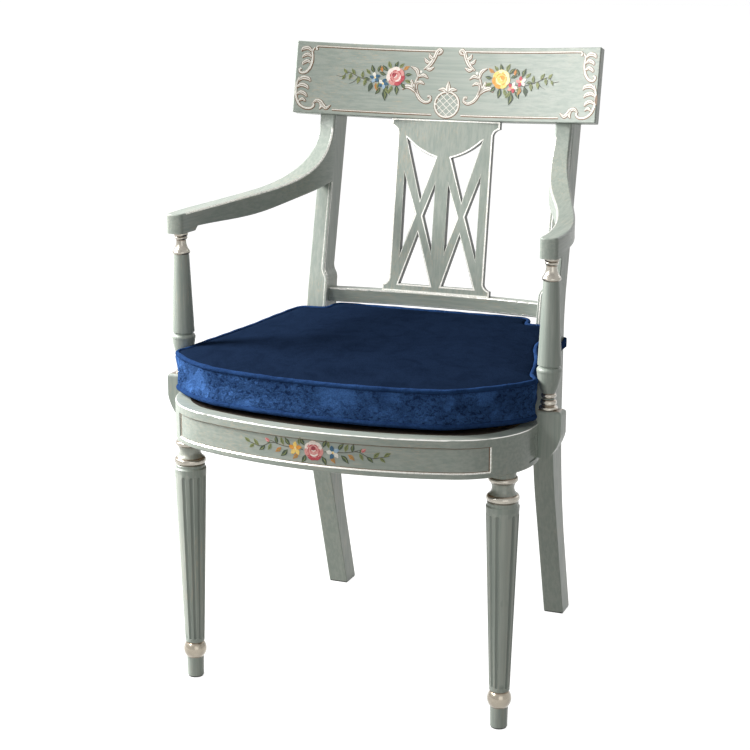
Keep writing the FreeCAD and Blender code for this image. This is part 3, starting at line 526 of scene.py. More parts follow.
DRESS = {
    "crest_rail": paint_crest, "splat": paint_splat, "lower_back_rail": paint_across,
    "front_seat_rail": paint_across, "back_seat_rail": paint_across, "arm_screw_plugs": paint_across,
    "cane_panel": rattan_weave, "cane_spline": rattan_spline, "arm_screws": steel,
    "arm_support_screws": steel, "corner_block_screws": steel,
    "seat_dowels": beech, "crest_dowels": beech, "lower_rail_dowels": beech,
    "front_foot_pads": pad_felt, "rear_foot_pads": pad_felt, "seat_cushion": velvet_side}
PAIRS = {
    "side_seat_rail": paint_side, "front_leg": paint_leg, "rear_post": paint_upright, "arm": paint_along,
    "arm_support": paint_column, "front_corner_block": beech, "rear_corner_block": beech,
    "cushion_tie": velvet_side}
for stem, material in PAIRS.items():
    DRESS[stem + "_left"] = material
    DRESS[stem + "_right"] = material
for name, material in DRESS.items():
    nodes[name].data.materials.clear()
    nodes[name].data.materials.append(material)


# Stage


def make_world():
    """White for the eye, and a dim even light for the chair."""
    scene.world = bpy.data.worlds.new("studio")
    sky = Tree(scene.world)
    strength = sky.remap(sky.seen(), 0.0, 1.0, AMBIENT, 1.0)
    background = sky.add("ShaderNodeBackground", {"Color": WHITE, "Strength": strength})
    sky.add("ShaderNodeOutputWorld", {"Surface": background.outputs[0]})


def make_floor():
    """Pale floor that keeps the shadow and is lifted towards white for the eye."""
    shader = Shader("pale_floor")
    lift = shader.times(shader.seen(), FLOOR_GLOW)
    shader.set(Base_Color=(0.22, 0.22, 0.21), Roughness=0.9, Specular_IOR_Level=0.1)
    shader.set(Emission_Color=WHITE, Emission_Strength=lift)
    mesh = bpy.data.meshes.new("floor")
    corners = [(-1, -1), (1, -1), (1, 1), (-1, 1)]
    mesh.from_pydata([(x * FLOOR_REACH, y * FLOOR_REACH, 0) for x, y in corners], [], [(0, 1, 2, 3)])
    floor = link(bpy.data.objects.new("floor", mesh))
    mesh.materials.append(shader.material)


def aim(obj, place, target):
    obj.location = place
    obj.rotation_euler = (Vector(target) - Vector(place)).to_track_quat("-Z", "Y").to_euler()


def add_lamp(name, place, target, width, power):
    data = bpy.data.lights.new(name, "AREA")
    data.shape = "SQUARE"
    data.size = width
    data.energy = power
    aim(link(bpy.data.objects.new(name, data)), place, target)


make_world()
make_floor()
add_lamp("key", (-2.65, -0.38, 2.25), (0.0, 0.0, 0.5), 1.1, 222.0)
add_lamp("front", (-1.45, -1.62, 1.70), (0.1, 0.1, 0.6), 0.8, 22.5)
add_lamp("fill", (2.0, -2.9, 0.9), (0.0, 0.0, 0.4), 2.2, 17.0)
add_lamp("rim", (1.4, 2.4, 2.0), (0.0, 0.0, 0.6), 1.6, 10.0)

camera = link(bpy.data.objects.new("camera", bpy.data.cameras.new("camera")))
camera.data.lens = CAMERA_LENS
camera.data.sensor_width = SENSOR
aim(camera, CAMERA_AT, CAMERA_TO)
scene.camera = camera
scene.view_settings.view_transform = "Standard"


# Painted ornament


class Brush:
    """Strokes of paint on one face of a CAD node, kept as thin closed strips that follow the face."""

    SHADE_LIFT = 0.00010
    WHITE_LIFT = 0.00016
    VEIN_LIFT = 0.00019
    FIRST_LIFT = 0.00022
    LAYER = 0.0000025
    ROOT = 0.0003
    HAIR = 0.00006
    HOVER = 0.02

    def __init__(self, node, point, normal):
        self.tree = BVHTree.FromObject(nodes[node], bpy.context.evaluated_depsgraph_get())
        self.point = point
        self.normal = normal
        self.skins = []
        self.paints = []
        self.marks = []
        self.count = 0

    def on_face(self, u, v, lift):
        normal = self.normal(u, v)
        start = self.point(u, v) + normal * self.HOVER
        hit = self.tree.ray_cast(start, -normal)[0]
        return (hit or self.point(u, v)) + normal * lift

    def strip(self, left, right, paint, lift=None):
        """Closed strip between two rows of points on the face, above the strips before it."""
        if paint not in self.paints:
            self.paints.append(paint)
        if lift is None:
            lift = self.FIRST_LIFT + self.LAYER * self.count
            self.count += 1
        rings = []
        for ends in zip(left, right):
            tops = [self.on_face(u, v, lift) for u, v in ends]
            roots = [top - self.normal(u, v) * (lift + self.ROOT) for top, (u, v) in zip(tops, ends)]
            rings.append((tops[0], tops[1], roots[1], roots[0]))
        skin = loft(rings, False)
        self.skins.append(skin)
        self.marks += [self.paints.index(paint)] * len(skin[1])

    def stroke(self, points, widths, paint, steps=8, lift=None):
        """Stroke along a smooth line through the points, with a width at each."""
        path, spans = smooth_path(points, widths, steps)
        left = []
        right = []
        for (before, (u, v), after), width in zip(neighbours(path, False), spans):
            along = Vector((after[0] - before[0], after[1] - before[1])).normalized()
            half = max(width, self.HAIR) / 2
            left.append((u - along.y * half, v + along.x * half))
            right.append((u + along.y * half, v - along.x * half))
        self.strip(left, right, paint, lift)

    def finish(self, name):
        paints = [PAINTS[paint] for paint in self.paints]
        piece_from(name, joined(self.skins), paints, "frame", self.marks)


def smooth_path(points, widths, steps):
    """Catmull-Rom line through points, with the widths carried along it."""
    rows = [Vector((u, v, w)) for (u, v), w in zip(points, widths)]
    rows = [rows[0] * 2 - rows[1]] + rows + [rows[-1] * 2 - rows[-2]]
    found = []
    for a, b, c, d in zip(rows, rows[1:], rows[2:], rows[3:]):
        for step in range(steps):
            t = step / steps
            bend = (b * 3 - a - c * 3 + d) * t ** 3 + (a * 2 - b * 5 + c * 4 - d) * t ** 2
            found.append(b + (bend + (c - a) * t) * 0.5)
    found.append(rows[-2])
    return [(row.x, row.y) for row in found], [row.z for row in found]


COLOURS = {
    "white": ((0.86, 0.84, 0.77), (0.72, 0.69, 0.61)),
    "umber": ((0.13, 0.070, 0.032), (0.22, 0.13, 0.07)),
    "leaf": ((0.026, 0.046, 0.025), (0.050, 0.075, 0.036)),
    "leaf_light": ((0.17, 0.20, 0.060), (0.25, 0.27, 0.10)),
    "twig": ((0.05, 0.05, 0.04), (0.09, 0.08, 0.055)),
    "rust": ((0.46, 0.17, 0.03), (0.56, 0.26, 0.07)),
    "rose": ((0.42, 0.035, 0.055), (0.54, 0.09, 0.10)),
    "rose_light": ((0.64, 0.23, 0.21), (0.76, 0.40, 0.36)),
    "rose_pale": ((0.88, 0.74, 0.66), (0.92, 0.83, 0.76)),
    "wine": ((0.24, 0.02, 0.035), (0.34, 0.04, 0.05)),
    "yellow": ((0.84, 0.56, 0.12), (0.88, 0.66, 0.24)),
    "yellow_pale": ((0.90, 0.74, 0.34), (0.93, 0.82, 0.50)),
    "orange": ((0.72, 0.28, 0.03), (0.78, 0.38, 0.07)),
    "blue": ((0.020, 0.085, 0.15), (0.045, 0.14, 0.23)),
    "blue_light": ((0.28, 0.42, 0.55), (0.45, 0.56, 0.64)),
}
PAINTS = {"silver": silver_line_and_highlight}
for name, colours in COLOURS.items():
    PAINTS[name] = line_paint("paint_" + name, colours)


def ring_point(centre, radius, turn):
    return (centre[0] + radius * math.cos(turn), centre[1] + radius * math.sin(turn))


def leaf(brush, root, turn, length, paint, rib):
    """Pointed leaf with a rib in another paint."""
    tip = ring_point(root, length, turn)
    middle = ring_point(root, length * 0.45, turn + 0.10)
    brush.stroke([root, middle, tip], [0.0006, length * 0.46, 0.0002], paint, 5)
    side = ring_point(root, length * 0.5, turn + 0.2)
    brush.stroke([ring_point(root, length * 0.12, turn), side, ring_point(root, length * 0.9, turn)],
                 [0.0003, length * 0.10, 0.0002], rib, 4)


def twig(brush, points, width=0.0011):
    brush.stroke(points, [width] + [width * 0.8] * (len(points) - 2) + [width * 0.35], "twig", 6)


def petal(brush, root, turn, size, steps, paint):
    """Stroke through steps from a root: reach and width as shares of a size, and lean off the turn."""
    points = [ring_point(root, size * reach, turn + lean) for reach, lean, width in steps]
    brush.stroke(points, [size * width for reach, lean, width in steps], paint, 4)


def blossom(brush, centre, radius, paints, start):
    """Small open flower of five pointed petals round a bright eye."""
    for number, paint in enumerate(paints):
        turn = start + 2 * math.pi * number / len(paints)
        petal(brush, centre, turn, radius, ((0.08, 0, 0.16), (0.58, 0.12, 0.62), (1, 0, 0.12)), paint)
    spot(brush, centre, radius * 0.2, "yellow_pale")
    spot(brush, ring_point(centre, radius * 0.08, 4.2), radius * 0.09, "orange")


def spot(brush, centre, radius, paint):
    """Round dab of paint."""
    left = []
    right = []
    for step in range(9):
        turn = math.pi * step / 8
        across = radius * math.cos(turn)
        half = max(radius * math.sin(turn), radius * 0.05)
        left.append((centre[0] + across, centre[1] + half))
        right.append((centre[0] + across, centre[1] - half))
    brush.strip(left, right, paint)


def crescent(brush, centre, turn, radius, reach, spread, width, paint):
    """Petal of a full rose: a band round the centre that is widest at its middle."""
    shares = ((-0.5, 0.15), (-0.3, 0.8), (0.0, 1.0), (0.3, 0.8), (0.5, 0.15))
    steps = [(reach, spread * along, width * wide) for along, wide in shares]
    petal(brush, centre, turn, radius, steps, paint)


def rose(brush, centre, radius, outer, mid, deep, heart, face):
    """Full rose turned a little to one side: ruffled outer petals, cupped inner ones and a dark heart."""
    spot(brush, centre, radius * 0.80, mid)
    for number in range(7):
        turn = face + 2 * math.pi * number / 7
        away = -math.cos(turn - face)
        paint = deep if away > 0.55 else mid if away > 0.0 else outer
        crescent(brush, centre, turn, radius, 0.80, 1.15, 0.44, paint)
    for number in range(6):
        turn = face + 0.4 + 2 * math.pi * number / 6
        crescent(brush, centre, turn, radius, 0.60, 1.0, 0.10, deep)
    behind = face + math.pi
    cup = ring_point(centre, radius * 0.14, behind)
    spot(brush, cup, radius * 0.52, mid)
    crescent(brush, cup, behind, radius, 0.42, 2.4, 0.26, outer)
    crescent(brush, cup, behind, radius, 0.50, 2.0, 0.06, deep)
    crescent(brush, cup, face, radius, 0.34, 2.6, 0.20, deep)
    heart_at = ring_point(centre, radius * 0.22, face)
    spot(brush, heart_at, radius * 0.24, heart)
    crescent(brush, heart_at, behind, radius, 0.26, 2.2, 0.10, outer)


def bud(brush, centre, turn, size):
    leaf(brush, ring_point(centre, -size * 0.9, turn), turn + 0.5, size, DARK, PALE)
    petal(brush, centre, turn, size, ((-0.5, 0, 0.3), (0, 0, 0.8), (0.7, 0, 0.3)), "rose_light")
    petal(brush, centre, turn, size, ((-0.4, 0.5, 0.28), (0.5, -0.3, 0.12)), "rose")


def scroll(brush, points, widths):
    """White scroll with a brown shade along one side."""
    shifted = [(u + 0.0005, v - 0.0006) for u, v in points]
    brush.stroke(shifted, [width + 0.0021 for width in widths], "umber", lift=brush.SHADE_LIFT)
    brush.stroke(points, widths, "white", lift=brush.WHITE_LIFT)
    if max(widths) > LOBE_WIDTH:
        vein = [(u + 0.0003, v - 0.0004) for u, v in points]
        brush.stroke(vein, [width * 0.17 for width in widths], "umber", lift=brush.VEIN_LIFT)


def crest_point(u, v):
    depth = math.sqrt(CREST_RADIUS ** 2 - u ** 2) - CREST_RADIUS + CREST_SAG
    return CREST_TILT @ Vector((u, depth, v)) + CREST_LOW


def crest_normal(u, v):
    return (CREST_TILT @ Vector((-u, -math.sqrt(CREST_RADIUS ** 2 - u ** 2), 0))).normalized()


def panel_centre(u):
    """Centre of the bow, or of the rounded corner that follows it, and the radius there."""
    if abs(u) < CORNER_FROM:
        return Vector((0, RAIL_FRONT + RAIL_RADIUS, 0)), RAIL_RADIUS - PANEL_SINK
    return Vector((math.copysign(CORNER_AT.x, u), CORNER_AT.y, 0)), CORNER_RADIUS


def panel_point(u, v):
    centre, radius = panel_centre(u)
    return Vector((u, centre.y - math.sqrt(radius ** 2 - (u - centre.x) ** 2), v))


def panel_normal(u, v):
    out = panel_point(u, 0) - panel_centre(u)[0]
    return out.normalized()


# Lines, corner scrolls and scrolls beside the medallion, on one half of the crest: each a row of steps
# with place and width in tenths of a millimetre, from the middle and the foot of the crest
CREST_SCROLLS = (
    ((235, 1085, 16), (1000, 1085, 16), (1700, 1085, 16), (2140, 1085, 16), (2205, 1070, 18),
     (2200, 1020, 30)),
    ((245, 78, 14), (800, 78, 14), (1400, 78, 14), (1890, 78, 14)),
    ((2268, 985, 16), (2340, 1045, 50), (2420, 1030, 46), (2450, 985, 8)),
    ((2268, 900, 14), (2335, 945, 46), (2400, 920, 40), (2425, 880, 8)),
    ((2275, 800, 14), (2340, 840, 44), (2400, 805, 38), (2415, 770, 8)),
    ((2235, 1060, 12), (2270, 1000, 22), (2262, 870, 28), (2290, 740, 34), (2360, 655, 34),
     (2435, 645, 28), (2458, 690, 26), (2425, 715, 32)),
    ((2470, 500, 16), (2400, 562, 56), (2305, 552, 50), (2268, 505, 8)),
    ((2488, 400, 14), (2410, 450, 52), (2328, 430, 46), (2292, 385, 8)),
    ((2482, 290, 14), (2405, 330, 48), (2338, 300, 42), (2312, 255, 8)),
    ((2435, 185, 12), (2378, 222, 42), (2322, 188, 8)),
    ((2450, 580, 10), (2486, 450, 28), (2490, 300, 32), (2440, 160, 32), (2350, 88, 30), (2245, 80, 30),
     (2190, 125, 28), (2205, 175, 26)),
    ((2215, 150, 12), (2150, 212, 40), (2085, 195, 50), (2040, 140, 50), (1985, 100, 44), (1915, 150, 8)),
    ((2110, 205, 12), (2072, 125, 34), (2095, 72, 8)),
    ((265, 960, 14), (330, 985, 48), (358, 1045, 8)),
    ((315, 895, 14), (385, 915, 44), (428, 970, 8)),
    ((400, 810, 14), (330, 795, 46), (258, 830, 8)),
    ((225, 1030, 10), (180, 1045, 26), (155, 1085, 36), (190, 1110, 40), (235, 1065, 46),
     (262, 985, 52), (330, 870, 50), (430, 790, 14)),
    ((515, 655, 12), (540, 770, 50), (640, 830, 10)),
    ((500, 665, 12), (425, 700, 46), (345, 650, 10)),
    ((545, 560, 12), (470, 588, 42), (400, 555, 8)),
    ((510, 400, 16), (600, 485, 54), (695, 512, 50), (765, 460, 10)),
    ((505, 400, 14), (605, 550, 46), (618, 620, 10)),
    ((500, 400, 16), (548, 515, 56), (500, 605, 10)),
    ((480, 715, 12), (530, 640, 24), (548, 540, 32), (520, 420, 42), (450, 315, 42), (355, 270, 36),
     (285, 300, 30), (285, 360, 26), (335, 362, 30)))


def crest_border(brush, side):
    for steps in CREST_SCROLLS:
        points = [(side * u * TENTH, v * TENTH) for u, v, width in steps]
        scroll(brush, points, [width * TENTH for u, v, width in steps])
    spot(brush, (side * 0.0470, 0.0748), 0.0022, "white")


def medallion(brush):
    """Round lattice under a crown of three leaves."""
    centre = (0.0, 0.0245)
    radius = 0.0200
    for turn in (0.75, -0.75):
        across = Vector((math.cos(turn), math.sin(turn)))
        for shift in (-0.0120, -0.0040, 0.0040, 0.0120):
            half = math.sqrt(radius ** 2 - shift ** 2) - 0.0006
            middle = Vector(centre) + Vector((-across.y, across.x)) * shift
            ends = [tuple(middle - across * half), tuple(middle), tuple(middle + across * half)]
            brush.stroke(ends, [0.0011] * 3, "white", 3)
    circle = [ring_point(centre, radius, 2 * math.pi * step / 16) for step in range(17)]
    scroll(brush, circle, [0.0025] * 17)
    foot = (0.0, 0.0425)
    for lean in (1.25, -1.25):
        tip = ring_point(foot, 0.0165, math.pi / 2 - lean)
        middle = ring_point(foot, 0.0090, math.pi / 2 - lean * 0.7)
        scroll(brush, [foot, middle, tip], [0.0014, 0.0056, 0.0008])
    scroll(brush, [foot, (0.0, 0.0510), (0.0, 0.0610)], [0.0020, 0.0070, 0.0008])


# Paints of the leaves
DARK = "leaf"
PALE = "leaf_light"
RUST = "rust"

# Leaves on one half of a spray: place in millimetres, turn, length in millimetres, paint
SPRAY_LEAVES = (
    (90, 78, 1.9, 13, DARK), (83, 79, 2.3, 11, PALE), (97, 78, 1.2, 13, PALE), (102, 74, 0.8, 13, DARK),
    (105, 68, 0.35, 12, DARK), (76, 76, 2.5, 12, RUST), (73, 68, 3.0, 12, DARK), (73, 60, 3.5, 12, PALE),
    (79, 55, 4.0, 12, DARK), (87, 52, 4.6, 16, DARK), (94, 51, 5.0, 12, PALE), (100, 50, 5.5, 11, DARK),
    (107, 45, 4.55, 19, DARK), (105, 46, 4.0, 12, PALE), (113, 47, 5.3, 13, DARK), (118, 72, 1.9, 11, DARK),
    (124, 70, 1.2, 14, DARK), (130, 68, 0.8, 11, PALE), (131, 60, 0.1, 11, DARK), (128, 55, 4.95, 16, DARK),
    (121, 54, 4.5, 13, RUST), (116, 55, 4.9, 10, PALE), (138, 60, 4.9, 12, PALE), (143, 61, 1.6, 11, PALE),
    (149, 63, 4.9, 12, PALE), (155, 66, 1.0, 11, PALE), (162, 68, 5.0, 11, PALE), (168, 67, 0.9, 10, PALE),
    (172, 65, 5.2, 9, PALE), (111, 72, 1.4, 10, RUST))
RAIL_LEAVES = (
    (14, 6, 1.1, 13, DARK), (12, -7, 5.2, 14, DARK), (24, -6, 5.4, 12, RUST), (36, 4, 0.9, 13, DARK),
    (40, -3, 5.5, 15, DARK), (46, 3, 1.2, 12, PALE), (50, -1, 5.6, 12, RUST), (56, 3, 1.4, 12, DARK),
    (66, 2, 5.2, 11, PALE), (76, -2, 5.6, 12, DARK), (86, -3, 0.8, 12, PALE), (94, -2, 5.6, 10, PALE),
    (100, 0, 0.5, 11, PALE), (22, 6, 1.6, 10, PALE))

ROSE = ("rose_pale", "rose_light", "rose", "wine")
YELLOW_ROSE = ("yellow_pale", "yellow", "orange", "orange")


def mirrored(side, rows, base=0.0):
    """Points in millimetres above a base, on the right half or its mirror image."""
    return [(side * u * MM, base + v * MM) for u, v in rows]


def turned(side, turn):
    return turn if side > 0 else math.pi - turn


def leaves(brush, side, rows, base=0.0):
    for u, v, turn, length, paint in rows:
        root = (side * u * MM, base + v * MM)
        rib = DARK if paint == PALE else PALE
        leaf(brush, root, turned(side, turn), length * MM, paint, rib)


def spray(brush, side, flower, small):
    """Spray of flowers beside the medallion, with a twig that runs outward."""
    twig(brush, mirrored(side, ((95, 62), (125, 56), (148, 62), (166, 69), (176, 62), (186, 63))))
    twig(brush, mirrored(side, ((150, 63), (156, 55), (164, 51))), 0.0008)
    leaves(brush, side, SPRAY_LEAVES)
    blossom(brush, (side * 0.1225, 0.0625), 0.0088, small, 0.4)
    blossom(brush, (side * 0.1085, 0.0535), 0.0088, small, 1.1)
    rose(brush, (side * 0.0885, 0.066), 0.0150, *flower, face=turned(side, 0.7))


def rail_spray(brush):
    """Low spray on the front rail: a rose between smaller flowers, with twigs to both sides."""
    low = 0.4085
    for side in (-1, 1):
        twig(brush, mirrored(side, ((16, 0), (45, 1.5), (64, 4), (82, -3.5), (98, -1), (108, 1)), low))
        twig(brush, mirrored(side, ((56, 3), (64, 6), (70, 6.5)), low), 0.0008)
        leaves(brush, side, RAIL_LEAVES, low)
        bud(brush, (side * 0.0715, low + 0.0065), math.pi / 2 - side, 0.0062)
    blossom(brush, (-0.0280, low), 0.0100, ("yellow", "orange", "yellow", "yellow", "orange"), 1.5)
    blossom(brush, (0.0285, low), 0.0098, ("blue_light", "blue", "white", "blue", "white"), 0.5)
    rose(brush, (0.0, low), 0.0140, *ROSE, face=1.7)


def rim_of(node, front):
    """Boundary loops of a node's front face, as lists of (point, way into the face, normal)."""
    work = bmesh.new()
    work.from_mesh(nodes[node].data)
    bmesh.ops.remove_doubles(work, verts=work.verts, dist=0.00001)
    rest = [face for face in work.faces if face.normal.dot(front) < 0.96]
    bmesh.ops.delete(work, geom=rest, context="FACES")
    after = {}
    before = {}
    for edge in work.edges:
        if edge.is_boundary:
            loop = edge.link_loops[0]
            end = loop.link_loop_next.vert
            inward = loop.face.normal.cross(end.co - loop.vert.co).normalized()
            after[loop.vert] = (end, inward, loop.face.normal.copy())
            before[end] = inward
    loops = []
    while after:
        vert = next(iter(after))
        loop = []
        while vert in after:
            end, inward, normal = after.pop(vert)
            middle = (inward + before[vert]) / max(1 + inward.dot(before[vert]), 0.5)
            loop.append((vert.co.copy(), middle, normal))
            vert = end
        loops.append(loop)
    work.free()
    return loops


def edge_lines(name, node, front, width):
    """Painted lines along the edges of a node's front face, as thin closed rings."""
    skins = []
    for loop in rim_of(node, front):
        rings = []
        for point, inward, normal in loop:
            far = point + inward * width
            rise = normal * SPLAT_LINE_LIFT
            rings.append((point + rise, far + rise, far - rise, point - rise))
        skins.append(loft(rings, True))
    piece_from(name, joined(skins), [silver_line_and_highlight], "frame")


def panel_lines(brush):
    """Brown and pale lines that pick out the edge of the sunk panel: brown as painted shade under its top,
    above its bottom line and inside its ends, and silver as painted highlight along its bottom and at its
    ends.
    """
    low = PANEL_LOW + 0.0006
    high = PANEL_HIGH - 0.0006
    across = [PANEL_HALF * share for share in (-1.0, -0.6, -0.2, 0.2, 0.6, 1.0)]
    lines = ((high, 0.0014, "umber"), (low, 0.0018, "silver"), (low + 0.0014, 0.0008, "umber"))
    for v, width, paint in lines:
        brush.stroke([(u, v) for u in across], [width] * len(across), paint, 12)
    for end in (-PANEL_HALF, PANEL_HALF):
        inner = end - math.copysign(0.0016, end)
        brush.stroke([(end, low), (end, high)], [0.0016, 0.0016], "silver")
        brush.stroke([(inner, low), (inner, high)], [0.0012, 0.0012], "umber")


class Corner:
    """A rounded edge of a node: at each station, the point of its section farthest along a direction.
    It is sought by rays: how many on each side, and how far apart, in a coarse and then a fine search."""

    COARSE = (90, 0.002)
    FINE = (10, 0.0002)
    HOVER = 0.5

    def __init__(self, node, axis, direction):
        self.tree = BVHTree.FromObject(nodes[node], bpy.context.evaluated_depsgraph_get())
        low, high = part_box(node)
        self.middle = (low + high) / 2
        self.axis = axis
        self.out = direction.normalized()
        way = Vector((0, 0, 0))
        way[axis] = 1
        self.across = self.out.cross(way)
        self.found = {}

    def farthest(self, station, middle, reach, step):
        best = None
        for number in range(-reach, reach + 1):
            start = middle + self.across * (number * step) + self.out * self.HOVER
            start[self.axis] = station
            hit = self.tree.ray_cast(start, -self.out)[0]
            if hit and (best is None or hit.dot(self.out) > best.dot(self.out)):
                best = hit
        return best

    def point(self, station, offset):
        if station not in self.found:
            near = self.farthest(station, self.middle, *self.COARSE)
            self.found[station] = self.farthest(station, near, *self.FINE)
        return self.found[station] + self.across * offset

    def normal(self, station, offset):
        return self.out


def corner_line(name, node, axis, direction, stations, width):
    """Silver line along a rounded edge, where it catches the light: a painted highlight."""
    corner = Corner(node, axis, direction)
    brush = Brush(node, corner.point, corner.normal)
    for low, high in ((-width / 2, 0.0), (0.0, width / 2)):
        rows = [[(station, offset) for station in stations] for offset in (low, high)]
        brush.strip(*rows, "silver", brush.WHITE_LIFT)
    brush.finish(name)


crest = Brush("crest_rail", crest_point, crest_normal)
for side in (-1, 1):
    crest_border(crest, side)
medallion(crest)
spray(crest, -1, ROSE, ("blue", "white", "blue", "blue_light", "blue"))
spray(crest, 1, YELLOW_ROSE, ("white", "rose", "rose_light", "rose", "rose_pale"))
crest.finish("crest_ornament")
rail = Brush("front_seat_rail", panel_point, panel_normal)
panel_lines(rail)
rail_spray(rail)
rail.finish("rail_ornament")
edge_lines("splat_lines", "splat", SPLAT_FRONT, SPLAT_LINE_WIDTH)
# Painted highlights: silver lines along the rounded edges of the lower back rail, arms and posts
for word, rise in (("top", 1), ("foot", -1)):
    edge = Vector((0, -1, rise))
    corner_line("lower_rail_line_" + word, "lower_back_rail", 0, edge, RAIL_LINE, RAIL_LINE_WIDTH)
for word, side in (("left", -1), ("right", 1)):
    edge = Vector((-side, 0, 1))
    corner_line("arm_line_" + word, "arm_" + word, 1, edge, ARM_LINE, ARM_LINE_WIDTH)
    edge = Vector((-side, -1, 0))
    corner_line("post_line_" + word, "rear_post_" + word, 2, edge, POST_LINE, POST_LINE_WIDTH)


# Cushion


def apply_modifiers(obj):
    evaluated = obj.evaluated_get(bpy.context.evaluated_depsgraph_get())
    mesh = bpy.data.meshes.new_from_object(evaluated)
    obj.modifiers.clear()
    obj.data = mesh


def edge_height(point):
    """Height of a point as a share of the cushion's edge, measured along its tilt."""
    base, normal = top_of_edge(1.0)
    return 1 + (point - base).dot(normal) / CUSHION_EDGE


def inflate(obj):
    """Swell the case between its sewn edges with a little air, as its filling does, by a capped amount."""
    start = [vertex.co.copy() for vertex in obj.data.vertices]
    sewn = obj.vertex_groups.new(name="sewn")
    for vertex in obj.data.vertices:
        share = edge_height(vertex.co)
        if abs(vertex.normal.z) < 0.9 and (share > SEWN_HIGH or share < SEWN_LOW):
            sewn.add([vertex.index], 1.0, "REPLACE")
    cloth = obj.modifiers.new("cloth", "CLOTH")
    cloth.settings.vertex_group_mass = "sewn"
    cloth.settings.use_pressure = True
    cloth.settings.uniform_pressure_force = SWELL_PRESSURE
    cloth.settings.effector_weights.gravity = 0.0
    for number in range(1, SWELL_FRAMES + 1):
        scene.frame_set(number)
    apply_modifiers(obj)
    scene.frame_set(1)
    for vertex, rest in zip(obj.data.vertices, start):
        move = vertex.co - rest
        if move.length > SWELL_CAP:
            move = move.normalized() * SWELL_CAP
        vertex.co = rest + move


def top_of_edge(share):
    """Point and normal of the plane at a share of the height of the cushion's edge, with its tilt there."""
    tilt = CUSHION_TILT * share
    point = Vector((0, CUSHION_FRONT, CUSHION_LOW + share * CUSHION_EDGE))
    return point, Vector((0, -math.sin(tilt), math.cos(tilt)))


def outline_at(obj, point, normal):
    """Closed outline of a mesh where a plane cuts it, as points in order."""
    work = bmesh.new()
    work.from_mesh(obj.data)
    geometry = work.verts[:] + work.edges[:] + work.faces[:]
    cut = bmesh.ops.bisect_plane(work, geom=geometry, plane_co=point, plane_no=normal)["geom_cut"]
    edges = [item for item in cut if isinstance(item, bmesh.types.BMEdge)]
    reach = {}
    for edge in edges:
        for vert in edge.verts:
            reach.setdefault(vert, []).append(edge)
    vert = edges[0].verts[0]
    edge = edges[0]
    points = []
    while True:
        points.append(vert.co.copy())
        vert = edge.other_vert(vert)
        edge = next((other for other in reach[vert] if other is not edge), None)
        if vert is edges[0].verts[0] or edge is None:
            break
    work.free()
    return points


def resampled(points, spacing):
    """Closed line of points an even distance apart, smoothed."""
    lengths = [(after - point).length for before, point, after in neighbours(points)]
    total = sum(lengths)
    count = int(total / spacing)
    found = []
    index = 0
    walked = 0.0
    for step in range(count):
        goal = total * step / count
        while walked + lengths[index] < goal:
            walked += lengths[index]
            index += 1
        a = points[index]
        b = points[(index + 1) % len(points)]
        found.append(a.lerp(b, (goal - walked) / max(lengths[index], 1e-9)))
    for turn in range(3):
        found = [(before + point * 2 + after) / 4 for before, point, after in neighbours(found)]
    return found


def outward(points, up, reach):
    """Closed line set out from its inside by a reach."""
    turns = [point.cross(after) for before, point, after in neighbours(points)]
    area = sum(turns, Vector((0, 0, 0))).dot(up)
    found = []
    for before, point, after in neighbours(points):
        out = (after - before).cross(up).normalized()
        found.append(point + out * math.copysign(reach, area))
    return found


def make_welt(name, points, up):
    """Welt: a tube along a closed line, slightly uneven as a sewn cord is."""
    rings = []
    for index, (before, point, after) in enumerate(neighbours(points)):
        out = (after - before).normalized().cross(up).normalized()
        swell = WELT_RADIUS * (1 + 0.05 * math.sin(index * 0.9) + 0.04 * math.sin(index * 0.37 + 1.0))
        turns = [2 * math.pi * side / WELT_SIDES for side in range(WELT_SIDES)]
        rings.append([point + (out * math.cos(turn) + up * math.sin(turn)) * swell for turn in turns])
    piece_from(name, loft(rings, True), [velvet_welt_shade], "cushion").data.shade_smooth()


def scaled(obj, base, factors):
    scale = Matrix.Diagonal((*factors, 1.0))
    obj.data.transform(Matrix.Translation(base) @ scale @ Matrix.Translation(-base))


def ramp(value, low, high):
    share = min(max((value - low) / (high - low), 0.0), 1.0)
    return share * share * (3 - 2 * share)


def rear_lift(point):
    return REAR_RISE * ramp(point.y, 0.0, 0.16)


def settle(obj, low, high):
    """Fill the case out to its sewn size, tuck in its foot, draw in its right side and lift its rear,
    where it is tied."""
    points = [vertex.co for vertex in obj.data.vertices]
    wide = max(point.x for point in points) - min(point.x for point in points)
    deep = max(point.y for point in points) - min(point.y for point in points)
    middle = (low + high) / 2
    size = high - low
    scaled(obj, middle, (CASE_WIDER * size.x / wide, CASE_DEEPER * size.y / deep, 1.0))
    for vertex in obj.data.vertices:
        point = vertex.co
        drawn = ramp(point.x, 0.10, 0.20) * math.exp(-((point.y - 0.035) / 0.055) ** 2)
        share = edge_height(point)
        lifted = rear_lift(point) * ramp(share, 0.3, 0.9)
        tucked = 1 - FOOT_TUCK * ramp(share, SEWN_LOW, 0.0)
        spread = (point - middle) * tucked + middle
        vertex.co = Vector((spread.x - SIDE_DRAW * drawn, spread.y, max(point.z, low.z) + lifted))


